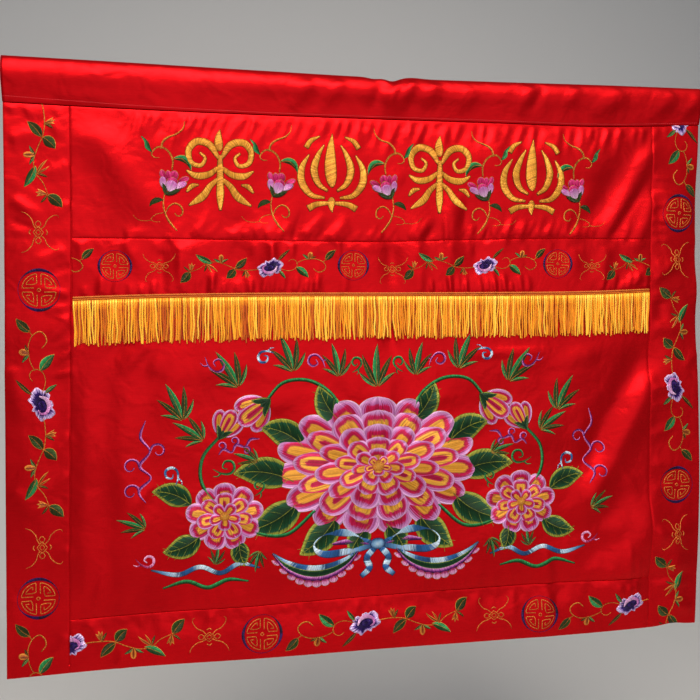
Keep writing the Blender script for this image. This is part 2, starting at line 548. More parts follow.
def rayon_thread(look):
    """Rayon embroidery floss laid side by side, glossy along each thread, under one look's colours.

    Real floss is 0.4 mm wide. It is drawn about twice as coarse, because it is too fine to show.
    """
    made, tree = blank_material(look.name)
    stitch = node(tree, "UVMap", {"uv_map": "stitch"})["UV"]
    fill = node(tree, "UVMap", {"uv_map": "fill"})["UV"]
    own = node(tree, "Attribute", {"attribute_name": "own"})["Fac"]
    across = node(tree, "SeparateXYZ", inputs={"Vector": stitch})["X"]
    threads = node(tree, "Math", {"operation": "DIVIDE"}, {0: across, 1: look.width_mm * MM})[0]
    index = node(tree, "Math", {"operation": "FLOOR"}, {0: threads})[0]
    key = node(tree, "Math", SCALED_SUM, {0: own, 1: 37.0, 2: index})[0]
    chance = node(tree, "TexWhiteNoise", {"noise_dimensions": "1D"}, {"W": key})["Value"]
    shade = node(tree, "TexNoise", inputs={"Vector": stitch, "Scale": 260.0, "Detail": 2.0})["Fac"]
    parts = node(tree, "SeparateXYZ", inputs={"Vector": fill})
    measure = parts["Y"]
    if look.measure == "side":
        measure = node(tree, "Math", SCALED_SUM, {0: parts["X"], 1: 0.5, 2: 0.5})[0]
    jagged = node(tree, "Math", SCALED_SUM, {0: chance, 1: look.jag, 2: measure})[0]
    jagged = node(
        tree, "Math", {"operation": "SUBTRACT", "use_clamp": True}, {0: jagged, 1: look.jag / 2}
    )[0]
    colour = node(tree, "ValToRGB", inputs={"Fac": jagged}, stops=look.stops)["Color"]
    lightness = node(tree, "Math", SCALED_SUM, {0: chance, 1: look.spread, 2: 0.85 - look.spread / 2})[0]
    lightness = node(tree, "Math", SCALED_SUM, {0: shade, 1: 0.30, 2: lightness})[0]
    toned = node(tree, "HueSaturation", inputs={"Color": colour, "Value": lightness})["Color"]
    round_thread = node(tree, "Math", {"operation": "PINGPONG"}, {0: threads, 1: 0.5})[0]
    bump = node(
        tree, "Bump", inputs={"Height": round_thread, "Strength": 0.8, "Distance": 0.0005}
    )["Normal"]
    tangent = node(tree, "Tangent", {"direction_type": "UV_MAP", "uv_map": "stitch"})["Tangent"]
    shader = node(
        tree, "BsdfPrincipled",
        inputs={
            "Base Color": toned, "Normal": bump, "Tangent": tangent, "Roughness": look.roughness,
            "Anisotropic": 0.6, "Metallic": 0.35, "Specular IOR Level": 0.25,
        },
    )
    node(tree, "OutputMaterial", inputs={"Surface": shader["BSDF"]})
    return made


def make_object(name, verts, faces, material, uv_maps=(), numbers=()):
    """A smooth mesh object with its material, UV maps and point numbers, which rides on the cloth."""
    mesh = bpy.data.meshes.new(name)
    mesh.from_pydata(np.reshape(verts, (-1, 3)).tolist(), [], faces)
    corner_verts = np.empty(len(mesh.loops), int)
    mesh.loops.foreach_get("vertex_index", corner_verts)
    for uv_name, pair in dict(uv_maps).items():
        places = np.stack(pair, -1).reshape(-1, 2).astype(np.float32)
        mesh.uv_layers.new(name=uv_name).data.foreach_set("uv", places[corner_verts].ravel())
    for number_name, values in dict(numbers).items():
        mesh.attributes.new(number_name, "FLOAT", "POINT").data.foreach_set(
            "value", values.astype(np.float32)
        )
    mesh.materials.append(material)
    mesh.shade_smooth()
    made = bpy.data.objects.new(name, mesh)
    bpy.context.scene.collection.objects.link(made)
    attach(made, BODY)
    return made


def grid_faces(rows, cols):
    """The quads of a grid of points, in rows."""
    index = np.arange(rows * cols).reshape(rows, cols)
    quads = np.stack([index[:-1, :-1], index[1:, :-1], index[1:, 1:], index[:-1, 1:]], -1)
    return quads.reshape(-1, 4).tolist()


def tube_faces(rings, sides, first=0, turned=False):
    """The faces of a closed tube of rings of points, the other way round where turned."""
    faces = []
    last = first + (rings - 1) * sides
    for start in range(first, last, sides):
        for side in range(sides):
            here, after = start + side, start + (side + 1) % sides
            face = (here, after, after + sides, here + sides)
            faces.append((face[0], *face[:0:-1]) if turned else face)
    near, far = tuple(range(first, first + sides)), tuple(range(last, last + sides))
    return faces + ([near, far[::-1]] if turned else [near[::-1], far])


def apply_thickness(made):
    """Gives a sheet its thickness inwards from its outer face, as an applied Solidify."""
    bpy.ops.object.select_all(action="DESELECT")
    made.select_set(True)
    bpy.context.view_layer.objects.active = made
    shell = made.modifiers.new("cloth_thickness", "SOLIDIFY")
    shell.thickness = SHEET_THICKNESS
    shell.offset = -1.0
    bpy.ops.object.modifier_apply(modifier=shell.name)


# The six panels. An edge is "turned" back behind the panel, or passes "under" the neighbour sewn over it.
Panel = namedtuple(
    "Panel", "node left right head foot left_edge right_edge head_edge foot_edge cells hangs_from"
)
PANELS = (
    Panel(
        "left_border", LEFT_EDGE, LEFT_SEAM, HEADING_SEAM, HEM, "turned", "under", "under", "turned",
        (0.0039, 0.0030), "satin_heading",
    ),
    Panel(
        "right_border", RIGHT_SEAM, RIGHT_EDGE, HEADING_SEAM, HEM, "under", "turned", "under", "turned",
        (0.0039, 0.0030), "satin_heading",
    ),
    Panel(
        "upper_panel", LEFT_SEAM, RIGHT_SEAM, HEADING_SEAM, STRIP_SEAM, "turned", "turned", "under",
        "under", (0.0024, 0.0036), "satin_heading",
    ),
    Panel(
        "upper_strip", LEFT_SEAM, RIGHT_SEAM, STRIP_SEAM, FRINGE_SEAM, "turned", "turned", "turned",
        "under", (0.0022, 0.0032), "satin_upper_panel",
    ),
    Panel(
        "main_panel", LEFT_SEAM, RIGHT_SEAM, FRINGE_SEAM, LOWER_SEAM, "turned", "turned", "turned", "under",
        (0.0036, 0.0048), "satin_upper_strip",
    ),
    Panel(
        "lower_strip", LEFT_SEAM, RIGHT_SEAM, LOWER_SEAM, HEM, "turned", "turned", "turned", "turned",
        (0.0030, 0.0041), "satin_main_panel",
    ),
)


def edge_stations(kind):
    """The stations of one edge as (inset from the seam, set back), from the face to its inner end."""
    shares = [step / TURN_STEPS for step in range(TURN_STEPS + 1)]
    start, way, back = 0.0, -1, UNDER_DEPTH
    stations = [
        (UNDER_RUN * (1 - share), UNDER_DEPTH * share * share * (3 - 2 * share))
        for share in shares
    ]
    if kind == "turned":
        start, way, back = SEAM_EASE + TURN_RADIUS, 1, 2 * TURN_RADIUS
        turns = [math.pi * step / TURN_STEPS for step in range(TURN_STEPS + 1)]
        stations = [
            (SEAM_EASE + TURN_RADIUS * (1 - math.sin(turn)), TURN_RADIUS * (1 - math.cos(turn)))
            for turn in turns
        ]
    inner = [way * ALLOWANCE * step / ALLOWANCE_CELLS for step in range(1, ALLOWANCE_CELLS + 1)]
    return stations + [(start + inset, back) for inset in inner]


def sheet_stations(length, cell, first_kind, last_kind):
    """The stations across a sheet as arrays of share, inset and set back, with both edges finished."""
    cells = max(2, round(length / cell))
    first = [(0.0, inset, back) for inset, back in reversed(edge_stations(first_kind))]
    middle = [(step / cells, 0.0, 0.0) for step in range(1, cells)]
    last = [(1.0, -inset, back) for inset, back in edge_stations(last_kind)]
    return np.array(first + middle + last).T


def satin_panel(panel, material):
    """One satin panel as a thin sheet in its folds, with its edges finished behind it."""
    width = panel.right.middle - panel.left.middle
    height = panel.foot.middle - panel.head.middle
    cell_across, cell_down = panel.cells
    share_across, inset_across, back_across = sheet_stations(
        width, cell_across, panel.left_edge, panel.right_edge
    )
    share_down, inset_down, back_down = sheet_stations(height, cell_down, panel.head_edge, panel.foot_edge)
    rough_drop = lerp(panel.head.middle, panel.foot.middle, share_down)[:, None]
    across = lerp(across_of(panel.left, rough_drop), across_of(panel.right, rough_drop), share_across)
    across = across + inset_across
    drop = lerp(drop_of(panel.head, across), drop_of(panel.foot, across), share_down[:, None])
    drop = drop + inset_down[:, None]
    back = np.maximum(back_across[None, :], back_down[:, None])
    points = to_space(across, drop, cloth_face(across, drop) - back)
    made = make_object(
        f"satin_{panel.node}", points, grid_faces(*across.shape), material,
        {"cloth": (across + back, -drop)},
    )
    apply_thickness(made)
    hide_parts(panel.node)
    return made


def edge_lines(panel):
    """The panel's four edges as straight cut lines in its flat drawing, each with the way out."""
    top, foot = float(drop_of(panel.head, 0.0)), float(drop_of(panel.foot, 0.0))
    lines = []
    for upright, way in ((panel.left, -1), (panel.right, 1)):
        places = [(float(across_of(upright, drop)) - way * EDGE_MARGIN, -drop) for drop in (top, foot)]
        lines.append((places, (way, 0)))
    lefts, rights = float(across_of(panel.left, top)), float(across_of(panel.right, top))
    for level, way in ((panel.head, 1), (panel.foot, -1)):
        across = np.linspace(lefts, rights, EDGE_SAMPLES)
        drops = drop_of(level, across)
        margin = EDGE_MARGIN + (way * (drops - np.linspace(drops[0], drops[-1], EDGE_SAMPLES))).max()
        places = [(across[end], -drops[end] - way * margin) for end in (0, -1)]
        lines.append((places, (0, way)))
    cuts = []
    for (start, end), way in lines:
        run = (end[0] - start[0], end[1] - start[1])
        normal = (run[1], -run[0])
        flip = 1 if normal[0] * way[0] + normal[1] * way[1] > 0 else -1
        cuts.append(((*start, 0.0), (flip * normal[0], flip * normal[1], 0.0)))
    return cuts


# The heading's section: steps up each leg, over the crown and round the turned foot
HEADING_CELL = 0.0038
LEG_STEPS = 7
CROWN_STEPS = 12
HEADING_HEM = 0.008
CROWN_RISE = 0.021
CROWN_RADIUS = 0.0095
FOOT_OUT = 0.0016
LEAN_PASSES = 4


def heading_line(height):
    """The outer line of the sleeve at one place, as (outward, down) pairs from front hem to back hem."""
    radius = TURN_RADIUS
    foot_down = height - radius
    lean = 0.0
    for _ in range(LEAN_PASSES):
        leg_out, leg_down = CROWN_RADIUS * math.cos(lean), CROWN_RISE * (1 + math.sin(lean))
        lean = math.atan((leg_out - FOOT_OUT) / (foot_down - leg_down) * CROWN_RISE / CROWN_RADIUS)
    front = [(FOOT_OUT - 2 * radius, foot_down - HEADING_HEM * share) for share in (1.0, 0.66, 0.33)]
    for step in range(TURN_STEPS + 1):
        turn = math.pi * (1 - step / TURN_STEPS)
        front.append((FOOT_OUT - radius + radius * math.cos(turn), foot_down + radius * math.sin(turn)))
    for step in range(1, LEG_STEPS):
        share = step / LEG_STEPS
        front.append((lerp(FOOT_OUT, leg_out, share), lerp(foot_down, leg_down, share)))
    for step in range(CROWN_STEPS):
        turn = lerp(-lean, math.pi / 2, step / CROWN_STEPS)
        front.append((CROWN_RADIUS * math.cos(turn), CROWN_RISE * (1 - math.sin(turn))))
    back = [(-outward, down) for outward, down in reversed(front)]
    return np.array(front + [(0.0, 0.0)] + back)


def satin_heading(material):
    """The heading band, folded over the rod line into a sleeve and open at both ends."""
    cols = round((RIGHT_EDGE.head - LEFT_EDGE.head) / HEADING_CELL)
    lines, places, downs = [], [], []
    for col in range(cols + 1):
        across = lerp(LEFT_EDGE.head, RIGHT_EDGE.head, col / cols)
        top = float(drop_of(CROWN, across))
        line = heading_line(float(drop_of(HEADING_SEAM, across)) - SEAM_EASE - top)
        lines.append(line)
        places.append(np.full(len(line), across))
        downs.append(line[:, 1] + top)
    line, across, drop = np.array(lines), np.array(places), np.array(downs)
    facing = np.clip(line[..., 0] / FOOT_OUT, 0.0, 1.0)
    proud = fine_height(HEADING_CREASES, across, line[..., 1], CREASE_RISE, CREASE_FALL) * facing
    run = np.linalg.norm(np.diff(line, axis=1), axis=-1)
    along = np.concatenate([np.zeros((len(run), 1)), np.cumsum(run, axis=1)], 1)
    faces = [face[::-1] for face in grid_faces(*across.shape)]
    points = to_space(across, drop, line[..., 0] + proud)
    made = make_object("satin_heading", points, faces, material, {"cloth": (across, along)})
    apply_thickness(made)
    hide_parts("heading_sleeve")
    return made


# The topstitching along the heading's foot: its stitches, and how far above the edge it runs at seven
# even stations across
STITCH_PITCH = 0.0034
STITCH_RUN = 0.0026
STITCH_HALF_WIDTH = 0.00035
STITCH_HEIGHT = 0.0004
TOPSTITCH_RISE = Level(0.0068, 0.0038, 0.0024, 0.0022, 0.0022, 0.0022, 0.0026)


def sewing_thread():
    """Spun polyester sewing thread: a lighter red than the satin, because its twist scatters the light."""
    made, tree = blank_material("polyester_sewing_thread")
    shader = node(
        tree, "BsdfPrincipled",
        inputs={"Base Color": linear("#D7323C"), "Roughness": 0.45, "Specular IOR Level": 0.5},
    )
    node(tree, "OutputMaterial", inputs={"Surface": shader["BSDF"]})
    return made


def heading_topstitch(material):
    """The row of stitches that holds the heading's foot down, farther above the edge at the left end."""
    count = int((RIGHT_EDGE.head - LEFT_EDGE.head - 2 * EDGE_MARGIN) / STITCH_PITCH)
    leg_rows = slice(3 + TURN_STEPS, 3 + TURN_STEPS + LEG_STEPS)
    verts, faces = [], []
    for stitch in range(count):
        faces += tube_faces(4, 4, len(verts))
        for run, height, width in ((0.0, 0.1, 0.5), (0.25, 1.0, 1.0), (0.75, 1.0, 1.0), (1.0, 0.1, 0.5)):
            across = LEFT_EDGE.head + EDGE_MARGIN + STITCH_PITCH * stitch + STITCH_RUN * run
            top, foot = float(drop_of(CROWN, across)), float(drop_of(HEADING_SEAM, across))
            leg = heading_line(foot - SEAM_EASE - top)[leg_rows][::-1]
            rise = float(eased(TOPSTITCH_RISE, (across + HALF_WIDTH) / (2 * HALF_WIDTH)))
            for side, lift in ((-1.0, -0.4), (-0.6, height), (0.6, height), (1.0, -0.4)):
                drop = foot - rise + side * width * STITCH_HALF_WIDTH
                place = np.array([across]), np.array([drop - top])
                out = np.interp(drop - top, leg[:, 1], leg[:, 0]) + lift * STITCH_HEIGHT
                out += float(fine_height(HEADING_CREASES, *place, CREASE_RISE, CREASE_FALL)[0])
                verts.append(to_space(across, drop, out))
    return make_object("heading_topstitch", verts, faces, material)


# The fringe: a braided tape over the seam, and silky cords that hang from it in two rows
TAPE_HEIGHT = 0.007
TAPE_ABOVE_SEAM = 0.004
TAPE_END_MARGIN = 0.002
TAPE_COLUMNS_PER_SCALLOP = 3
TAPE_ROWS = 13
TAPE_FACE = 0.0009
TAPE_BACK = -0.0002
TAPE_RIDGES = 3
TAPE_RIDGE = 0.00055
TAPE_BRAID = 0.00022
BRAID_SHIFT = 1.2
SCALLOP_PITCH = 0.0031
SCALLOP_RISE = 0.0008
SCALLOP_FADE = 5
CORD_STATIONS = 12
CORD_SIDES = 6
CORD_OVERLAP = 0.0020
TIP_SHARE = 0.985

# How the cords vary: where they start, how they clump, lean, end and wave, how thick and flat they
# are, and how their tone drifts across.
# They part a little over the crease that runs down through the fringe.
ROOT_SHIFT = 0.18
CLUMP_SIZES = (2, 7)
CLUMP_PULL = 0.30
CLUMP_LEAN = 0.0010
CORD_LEAN = 0.0007
CREASE_ACROSS = 0.021
CREASE_LEAN = 0.0024
CREASE_REACH = 0.006
LENGTH_SPREAD = 0.0017
WAVES = (0.0004, 0.0011)
WAVE_TURNS = (0.7, 1.7)
GIRTHS = (0.8, 1.2)
OUT_WAVE = 0.4
OUT_TURN = 7
CORD_FLATNESS = 0.7
TONE_DRIFT = 0.3

# The rows of cords: how far out they hang, how thick and how much shorter they are, by what share of
# the cords' spacing they are shifted, and the tones that they lie between
FringeRow = namedtuple("FringeRow", "name outward radius shorter offset darkest lightest")
FRINGE_ROWS = (
    FringeRow("back", 0.0012, 0.00140, 0.0015, 0.5, -0.30, 0.45),
    FringeRow("front", 0.0027, 0.00125, 0.0, 0.0, -0.05, 1.0),
)


def fringe_ends():
    """How far across the fringe starts and ends."""
    left = float(across_of(LEFT_SEAM, FRINGE_SEAM.left)) + TAPE_END_MARGIN
    return left, float(across_of(RIGHT_SEAM, FRINGE_SEAM.right)) - TAPE_END_MARGIN


def fringe_tape():
    """The woven heading of the fringe: three braided ridges under a row of small scallops."""
    left, right = fringe_ends()
    scallops = round((right - left) / SCALLOP_PITCH)
    columns = scallops * TAPE_COLUMNS_PER_SCALLOP + 1
    across = np.linspace(left, right, columns)[:, None]
    turn = np.linspace(0.0, np.pi * scallops, columns)[:, None]
    share = np.concatenate([np.linspace(0.0, 1.0, TAPE_ROWS), [1.0, 0.0]])
    ridges = np.abs(np.sin(TAPE_RIDGES * np.pi * share)) * TAPE_RIDGE
    braid = TAPE_BRAID * np.sin(
        2 * turn + np.where((share * TAPE_RIDGES).astype(int) % 2, BRAID_SHIFT, -BRAID_SHIFT)
    )
    outward = TAPE_FACE + ridges + braid * (ridges > 1e-6)
    outward[:, -2:] = TAPE_BACK
    rise = SCALLOP_RISE * np.abs(np.sin(turn)) * np.maximum(0.0, 1 - SCALLOP_FADE * share)
    drop = drop_of(FRINGE_SEAM, across) - TAPE_ABOVE_SEAM + TAPE_HEIGHT * share - rise
    wide = np.broadcast_to(across, drop.shape)
    made = make_object(
        "fringe_tape", to_space(wide, drop, cloth_face(wide, drop) + outward),
        tube_faces(columns, len(share)), braided_tape(),
        {"tape": (wide, np.broadcast_to(share, wide.shape))},
    )
    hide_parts("fringe")
    return made


def fringe_cords(settings, row, rng):
    """One row of silky cords that cling in clumps, swing a little and end unevenly."""
    left, right = fringe_ends()
    count = round((right - left) / settings.cord_pitch)
    pitch = (right - left) / count
    count -= row.offset > 0
    root = left + pitch * (np.arange(count) + 0.5 + row.offset + rng.uniform(-ROOT_SHIFT, ROOT_SHIFT, count))
    clump = np.repeat(np.arange(count), rng.integers(*CLUMP_SIZES, count))[:count]
    middle = np.array([root[clump == which].mean() for which in clump])
    pull = rng.uniform(0.0, CLUMP_PULL, count)[clump]
    lean = rng.normal(0.0, CLUMP_LEAN, count)[clump] + rng.normal(0.0, CORD_LEAN, count)
    aside = root - CREASE_ACROSS
    lean += CREASE_LEAN * np.sign(aside) * np.exp(-((aside / CREASE_REACH) ** 2))
    length = settings.cord_length - row.shorter + rng.normal(0.0, LENGTH_SPREAD, count)
    wave, phase = rng.uniform(*WAVES, count), rng.uniform(0.0, 2 * np.pi, count)
    turns = rng.uniform(*WAVE_TURNS, count)
    radius = row.radius * rng.uniform(*GIRTHS, count)
    share = np.append(np.linspace(0.0, TIP_SHARE, CORD_STATIONS - 1), 1.0)[None, :]
    root_of_each = root[:, None]
    middle, pull, lean, length, wave, phase, turns, radius = (
        values[:, None]
        for values in (middle, pull, lean, length, wave, phase, turns, radius)
    )
    across = root_of_each + (middle - root_of_each) * pull * share**1.3 + lean * share**1.5
    across = across + wave * np.sin(2 * np.pi * turns * share + phase) * np.sqrt(share)
    start = drop_of(FRINGE_SEAM, root_of_each) - TAPE_ABOVE_SEAM + TAPE_HEIGHT - CORD_OVERLAP
    drop = start + length * share
    face = cloth_face(across, drop) + row.outward
    outward = np.maximum(face[:, :1], face) + OUT_WAVE * wave * np.cos(OUT_TURN * share + phase)
    girth = (radius * (0.9 + 0.25 * np.sin(np.pi * share) - 0.15 * share))[..., None]
    turn = np.linspace(0.0, 2 * np.pi, CORD_SIDES, endpoint=False)
    rim_across = across[..., None] + girth * np.cos(turn)
    rim_out = outward[..., None] + CORD_FLATNESS * girth * np.sin(turn)
    rim_drop = np.broadcast_to(drop[..., None], rim_across.shape)
    size = CORD_STATIONS * CORD_SIDES
    faces = []
    for cord in range(count):
        faces += tube_faces(CORD_STATIONS, CORD_SIDES, cord * size)
    around = np.broadcast_to(turn / (2 * np.pi), rim_across.shape)
    along = np.broadcast_to(share[..., None], rim_across.shape)
    tone = rng.uniform(row.darkest, row.lightest, count) + TONE_DRIFT * (root - left)
    made = make_object(
        f"fringe_cords_{row.name}", to_space(rim_across, rim_drop, rim_out), faces, fringe_floss(),
        {"cord": (around, along)}, {"own": np.repeat(tone, size)},
    )
    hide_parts("fringe")
    return made


def braided_tape():
    """Braided rayon gimp: orange with pale edges, its small braid lit thread by thread."""
    made, tree = blank_material("braided_rayon_tape")
    place = node(tree, "UVMap", {"uv_map": "tape"})["UV"]
    parts = node(tree, "SeparateXYZ", inputs={"Vector": place})
    stops = (
        (0.0, "#E68C3C"), (0.14, "#DC6E28"), (0.22, "#821E05"), (0.34, "#D25A14"), (0.50, "#E1781E"),
        (0.60, "#821E05"), (0.72, "#D26414"), (1.0, "#DC821E"),
    )
    colour = node(tree, "ValToRGB", inputs={"Fac": parts["Y"]}, stops=stops)["Color"]
    twill = node(tree, "Math", PRODUCT, {0: parts["Y"], 1: 2.5})[0]
    turn = node(tree, "Math", SCALED_SUM, {0: parts["X"], 1: 1 / SCALLOP_PITCH, 2: twill})[0]
    ply = node(tree, "Math", {"operation": "PINGPONG"}, {0: turn, 1: 0.5})[0]
    light = node(tree, "Math", SCALED_SUM, {0: ply, 1: 0.7, 2: 0.52})[0]
    toned = node(tree, "HueSaturation", inputs={"Color": colour, "Value": light})["Color"]
    bump = node(tree, "Bump", inputs={"Height": ply, "Strength": 0.6, "Distance": 0.0005})["Normal"]
    shader = node(
        tree, "BsdfPrincipled",
        inputs={"Base Color": toned, "Normal": bump, "Roughness": 0.6, "Specular IOR Level": 0.15},
    )
    node(tree, "OutputMaterial", inputs={"Surface": shader["BSDF"]})
    return made


def fringe_floss():
    """Loose rayon floss: silky gold with brown depths, each cord its own tone, lit along its length."""
    found = bpy.data.materials.get("rayon_fringe_floss")
    if found:
        return found
    made, tree = blank_material("rayon_fringe_floss")
    place = node(tree, "UVMap", {"uv_map": "cord"})["UV"]
    own = node(tree, "Attribute", {"attribute_name": "own"})["Fac"]
    parts = node(tree, "SeparateXYZ", inputs={"Vector": place})
    around = node(tree, "Math", PRODUCT, {0: parts["X"], 1: 9.0})[0]
    strands = node(tree, "CombineXYZ", inputs={"X": around, "Y": parts["Y"], "Z": own})["Vector"]
    fibre = node(
        tree, "TexNoise", inputs={"Vector": strands, "Scale": 3.0, "Detail": 3.0, "Roughness": 0.6}
    )["Fac"]
    tone = node(tree, "Math", SCALED_SUM, {0: own, 1: 0.62, 2: 0.0})[0]
    tone = node(tree, "Math", SCALED_SUM, {0: fibre, 1: 0.5, 2: tone})[0]
    head = node(
        tree, "Math", {"operation": "MULTIPLY_ADD", "use_clamp": True}, {0: parts["Y"], 1: -6.0, 2: 1.4}
    )[0]
    tone = node(
        tree, "Math", {"operation": "MULTIPLY_ADD", "use_clamp": True}, {0: head, 1: 0.25, 2: tone}
    )[0]
    stops = ((0.0, "#821E05"), (0.25, "#BE4B0A"), (0.5, "#EB8F14"), (0.75, "#FFB428"), (1.0, "#FFD24B"))
    colour = node(tree, "ValToRGB", inputs={"Fac": tone}, stops=stops)["Color"]
    bump = node(tree, "Bump", inputs={"Height": fibre, "Strength": 0.4, "Distance": 0.0004})["Normal"]
    shader = node(
        tree, "BsdfPrincipled",
        inputs={
            "Base Color": colour, "Normal": bump, "Roughness": 0.42, "Metallic": 0.3,
            "Specular IOR Level": 0.3, "Sheen Weight": 0.05,
        },
    )
    node(tree, "OutputMaterial", inputs={"Surface": shader["BSDF"]})
    return made


# Stitching, in millimetres: how far a patch is sunk into the cloth, how high its rim stands, how far a
# patch that lies on another is raised, how far an edge shows beyond a patch and lies under it, and
# what share of the patch's crown it has
SINK = 0.04
RIM = 0.28
LAYER = 0.38
EDGE_GROWTH = 0.55
EDGE_DROP = 0.14
EDGE_CROWN = 0.3
STITCH_SEED = 23

# How thread lies: its slant across a stroke, and how ribbed stitches lean back and are stretched
STITCH_SLANT = 0.35
RIB_LEAN = 0.8
RIB_STRETCH = 1.3

# A disc's rings as shares of its radius, on its top and then on its underside
DISC_RINGS = (0.3, 0.55, 0.75, 0.9, 1.0)
UNDER_RINGS = (1.0, 0.75, 0.5, 0.25)

# How many stations cross the top of a stroke up to each half width in millimetres
SECTION_TOPS = ((1.5, 3), (6, 5), (13, 7), (20, 9), (math.inf, 13))


def path_through(points, spacing, corners=False):
    """Even stations along a smooth curve, or along straight runs, through points."""
    dense = np.asarray(points, complex)
    if not corners:
        dense = eased(dense, np.linspace(0.0, 1.0, 12 * (len(dense) - 1) + 1))
    run = np.concatenate(([0.0], np.cumsum(abs(np.diff(dense)))))
    even = np.linspace(0.0, run[-1], max(4, round(run[-1] / spacing) + 1))
    return np.interp(even, run, dense.real) + 1j * np.interp(even, run, dense.imag)


def leaf_form(share):
    """Width along a leaf, pointed at both ends."""
    return np.sin(np.pi * share**0.85) ** 0.85


def petal_form(share):
    """Width along a petal: narrow at its base, broad and round at its tip."""
    widening = np.sin(np.pi / 2 * np.minimum(share / 0.62, 1.0)) ** 0.8
    rounding = np.sqrt(np.maximum(0.0, 1 - (np.maximum(share - 0.62, 0.0) / 0.38) ** 2))
    return (0.25 + 0.75 * widening) * rounding


def drop_form(share):
    """Width along a drop: round at its base and pointed at its tip."""
    return np.minimum(2.6 * np.sqrt(share) * (1 - share), 1.0)


class Pen:
    """Lays raised stitching, drawn in millimetres as complex points x + y * 1j, on a place of the cloth."""

    def __init__(self, work, across, drop, turn=0.0, scale=1.0, mirrored=False):
        self.work = work
        self.origin = complex(across, -drop)
        self.grip = scale * cmath.exp(1j * math.radians(turn))
        self.mirrored = mirrored

    def moved(self, place, turn=0.0, scale=1.0, mirrored=False):
        """A pen whose place, turn and size are given in this pen's drawing."""
        pen = Pen(self.work, 0.0, 0.0)
        pen.origin = complex(self.on_cloth(place))
        grip = scale * cmath.exp(1j * math.radians(turn))
        pen.grip = self.grip * (grip.conjugate() if self.mirrored else grip)
        pen.mirrored = self.mirrored != mirrored
        return pen

    def halves(self):
        """This pen again, first as it is and then mirrored."""
        return self.moved(0), self.moved(0, mirrored=True)

    def on_cloth(self, points):
        """Where drawn points lie on the cloth, in millimetres across and up."""
        points = np.asarray(points, complex)
        return self.origin + self.grip * (-points.conj() if self.mirrored else points)

    def patch(self, thread, points, heights, faces, stitch, fill):
        """Adds one closed patch of stitching to the work in its thread."""
        scale = abs(self.grip)
        if self.mirrored:
            faces = [face[::-1] for face in faces]
        stitch, fill = (np.stack(pair, -1).reshape(-1, 2) for pair in (stitch, fill))
        places = self.on_cloth(points).ravel()
        self.work.setdefault(thread, []).append((places, heights.ravel(), faces, stitch * scale, fill))

    def loft(self, thread, path, half, lift=0.0, crown=0.5, lay="across", edge=None):
        """Sweeps a padded section of a changing half width along a path, as a closed patch."""
        heading = np.gradient(path)
        heading /= abs(heading)
        if edge:
            longer = path.copy()
            longer[0] -= EDGE_GROWTH * heading[0]
            longer[-1] += EDGE_GROWTH * heading[-1]
            self.loft(edge, longer, half + EDGE_GROWTH, lift - EDGE_DROP, EDGE_CROWN * crown)
        widest = half.max()
        real = widest * abs(self.grip)
        tops = next(tops for limit, tops in SECTION_TOPS if real < limit)
        sides = np.sin(np.linspace(-np.pi / 2, np.pi / 2, tops))
        run = np.concatenate(([0.0], np.cumsum(abs(np.diff(path)))))
        share = run / run[-1]
        swell = np.sqrt(half / widest)
        offset = half[:, None] * sides
        top = RIM + lift + crown * swell[:, None] * (1 - sides**2)
        points = path[:, None] + 1j * heading[:, None] * offset
        order = list(range(tops)) + list(range(tops - 1, -1, -1 if tops > 5 else -2))
        points = points[:, order]
        heights = top[:, order]
        heights[:, tops:] = -SINK
        sides, offset = sides[order], offset[:, order]
        along = np.repeat(run[:, None], len(order), 1)
        if lay == "along":
            stitch = (offset, along)
        elif lay == "fan":
            stitch = (np.broadcast_to(sides * widest, along.shape), along)
        elif lay == "ribbed":
            stitch = (along - RIB_LEAN * abs(offset), RIB_STRETCH * abs(offset))
        else:
            stitch = (along + STITCH_SLANT * offset, offset)
        band = np.repeat(share[:, None], len(order), 1)
        if thread.measure == "rim":
            reach = np.where(np.arange(len(half)) < half.argmax(), widest, half)
            inside = np.minimum(reach[:, None] * (1 - abs(sides)), 0.9 * (run[-1] - along))
            band = 1 - np.clip(inside / widest, 0.0, 1.0)
        fill = (np.broadcast_to(sides, band.shape), band)
        self.patch(thread, points, heights, tube_faces(*points.shape, turned=True), stitch, fill)

    def stroke(self, thread, points, widths, spacing=2.2, corners=False, **ways):
        """A line of stitching through points, its widths spread evenly along it."""
        path = path_through(points, spacing / abs(self.grip), corners)
        self.loft(thread, path, eased(widths, np.linspace(0.0, 1.0, len(path))) / 2, **ways)

    def blade(self, thread, base, tip, width, bow=0.0, form=leaf_form, spacing=2.2, **ways):
        """A leaf or petal from base to tip, bowed to its left by a distance."""
        length = abs(tip - base)
        count = int(np.clip(length * abs(self.grip) / spacing, 6, 20))
        share = (1 - np.cos(np.linspace(0.0, np.pi, count + 1))) / 2
        side = 1j * (tip - base) / length * bow
        path = base + (tip - base) * share + side * 4 * share * (1 - share)
        half = np.maximum(width / 2 * form(share), 0.12)
        ways.setdefault("lay", "ribbed")
        self.loft(thread, path, half, **ways)
        return path

    def disc(self, thread, radius, centre=0.0, lift=0.0, crown=0.5, spokes=40, edge=None):
        """A padded patch inside an outline whose radius is a function of the angle."""
        if edge:
            self.disc(
                edge, lambda angle: radius(angle) + EDGE_GROWTH, centre, lift - EDGE_DROP,
                EDGE_CROWN * crown, spokes,
            )
        angle = np.linspace(0.0, 2 * np.pi, spokes, endpoint=False)
        rim = radius(angle) * np.exp(1j * angle)
        rings = [(share, RIM + lift + crown * (1 - share**2)) for share in DISC_RINGS]
        rings += [(share, -SINK) for share in UNDER_RINGS]
        share, height = np.array(rings).T[..., None]

        def whole(rows, top=0.0, foot=0.0):
            """Values at the top's middle, round every ring and at the underside's middle."""
            return np.concatenate(([top], np.broadcast_to(rows, (len(rings), spokes)).ravel(), [foot]))

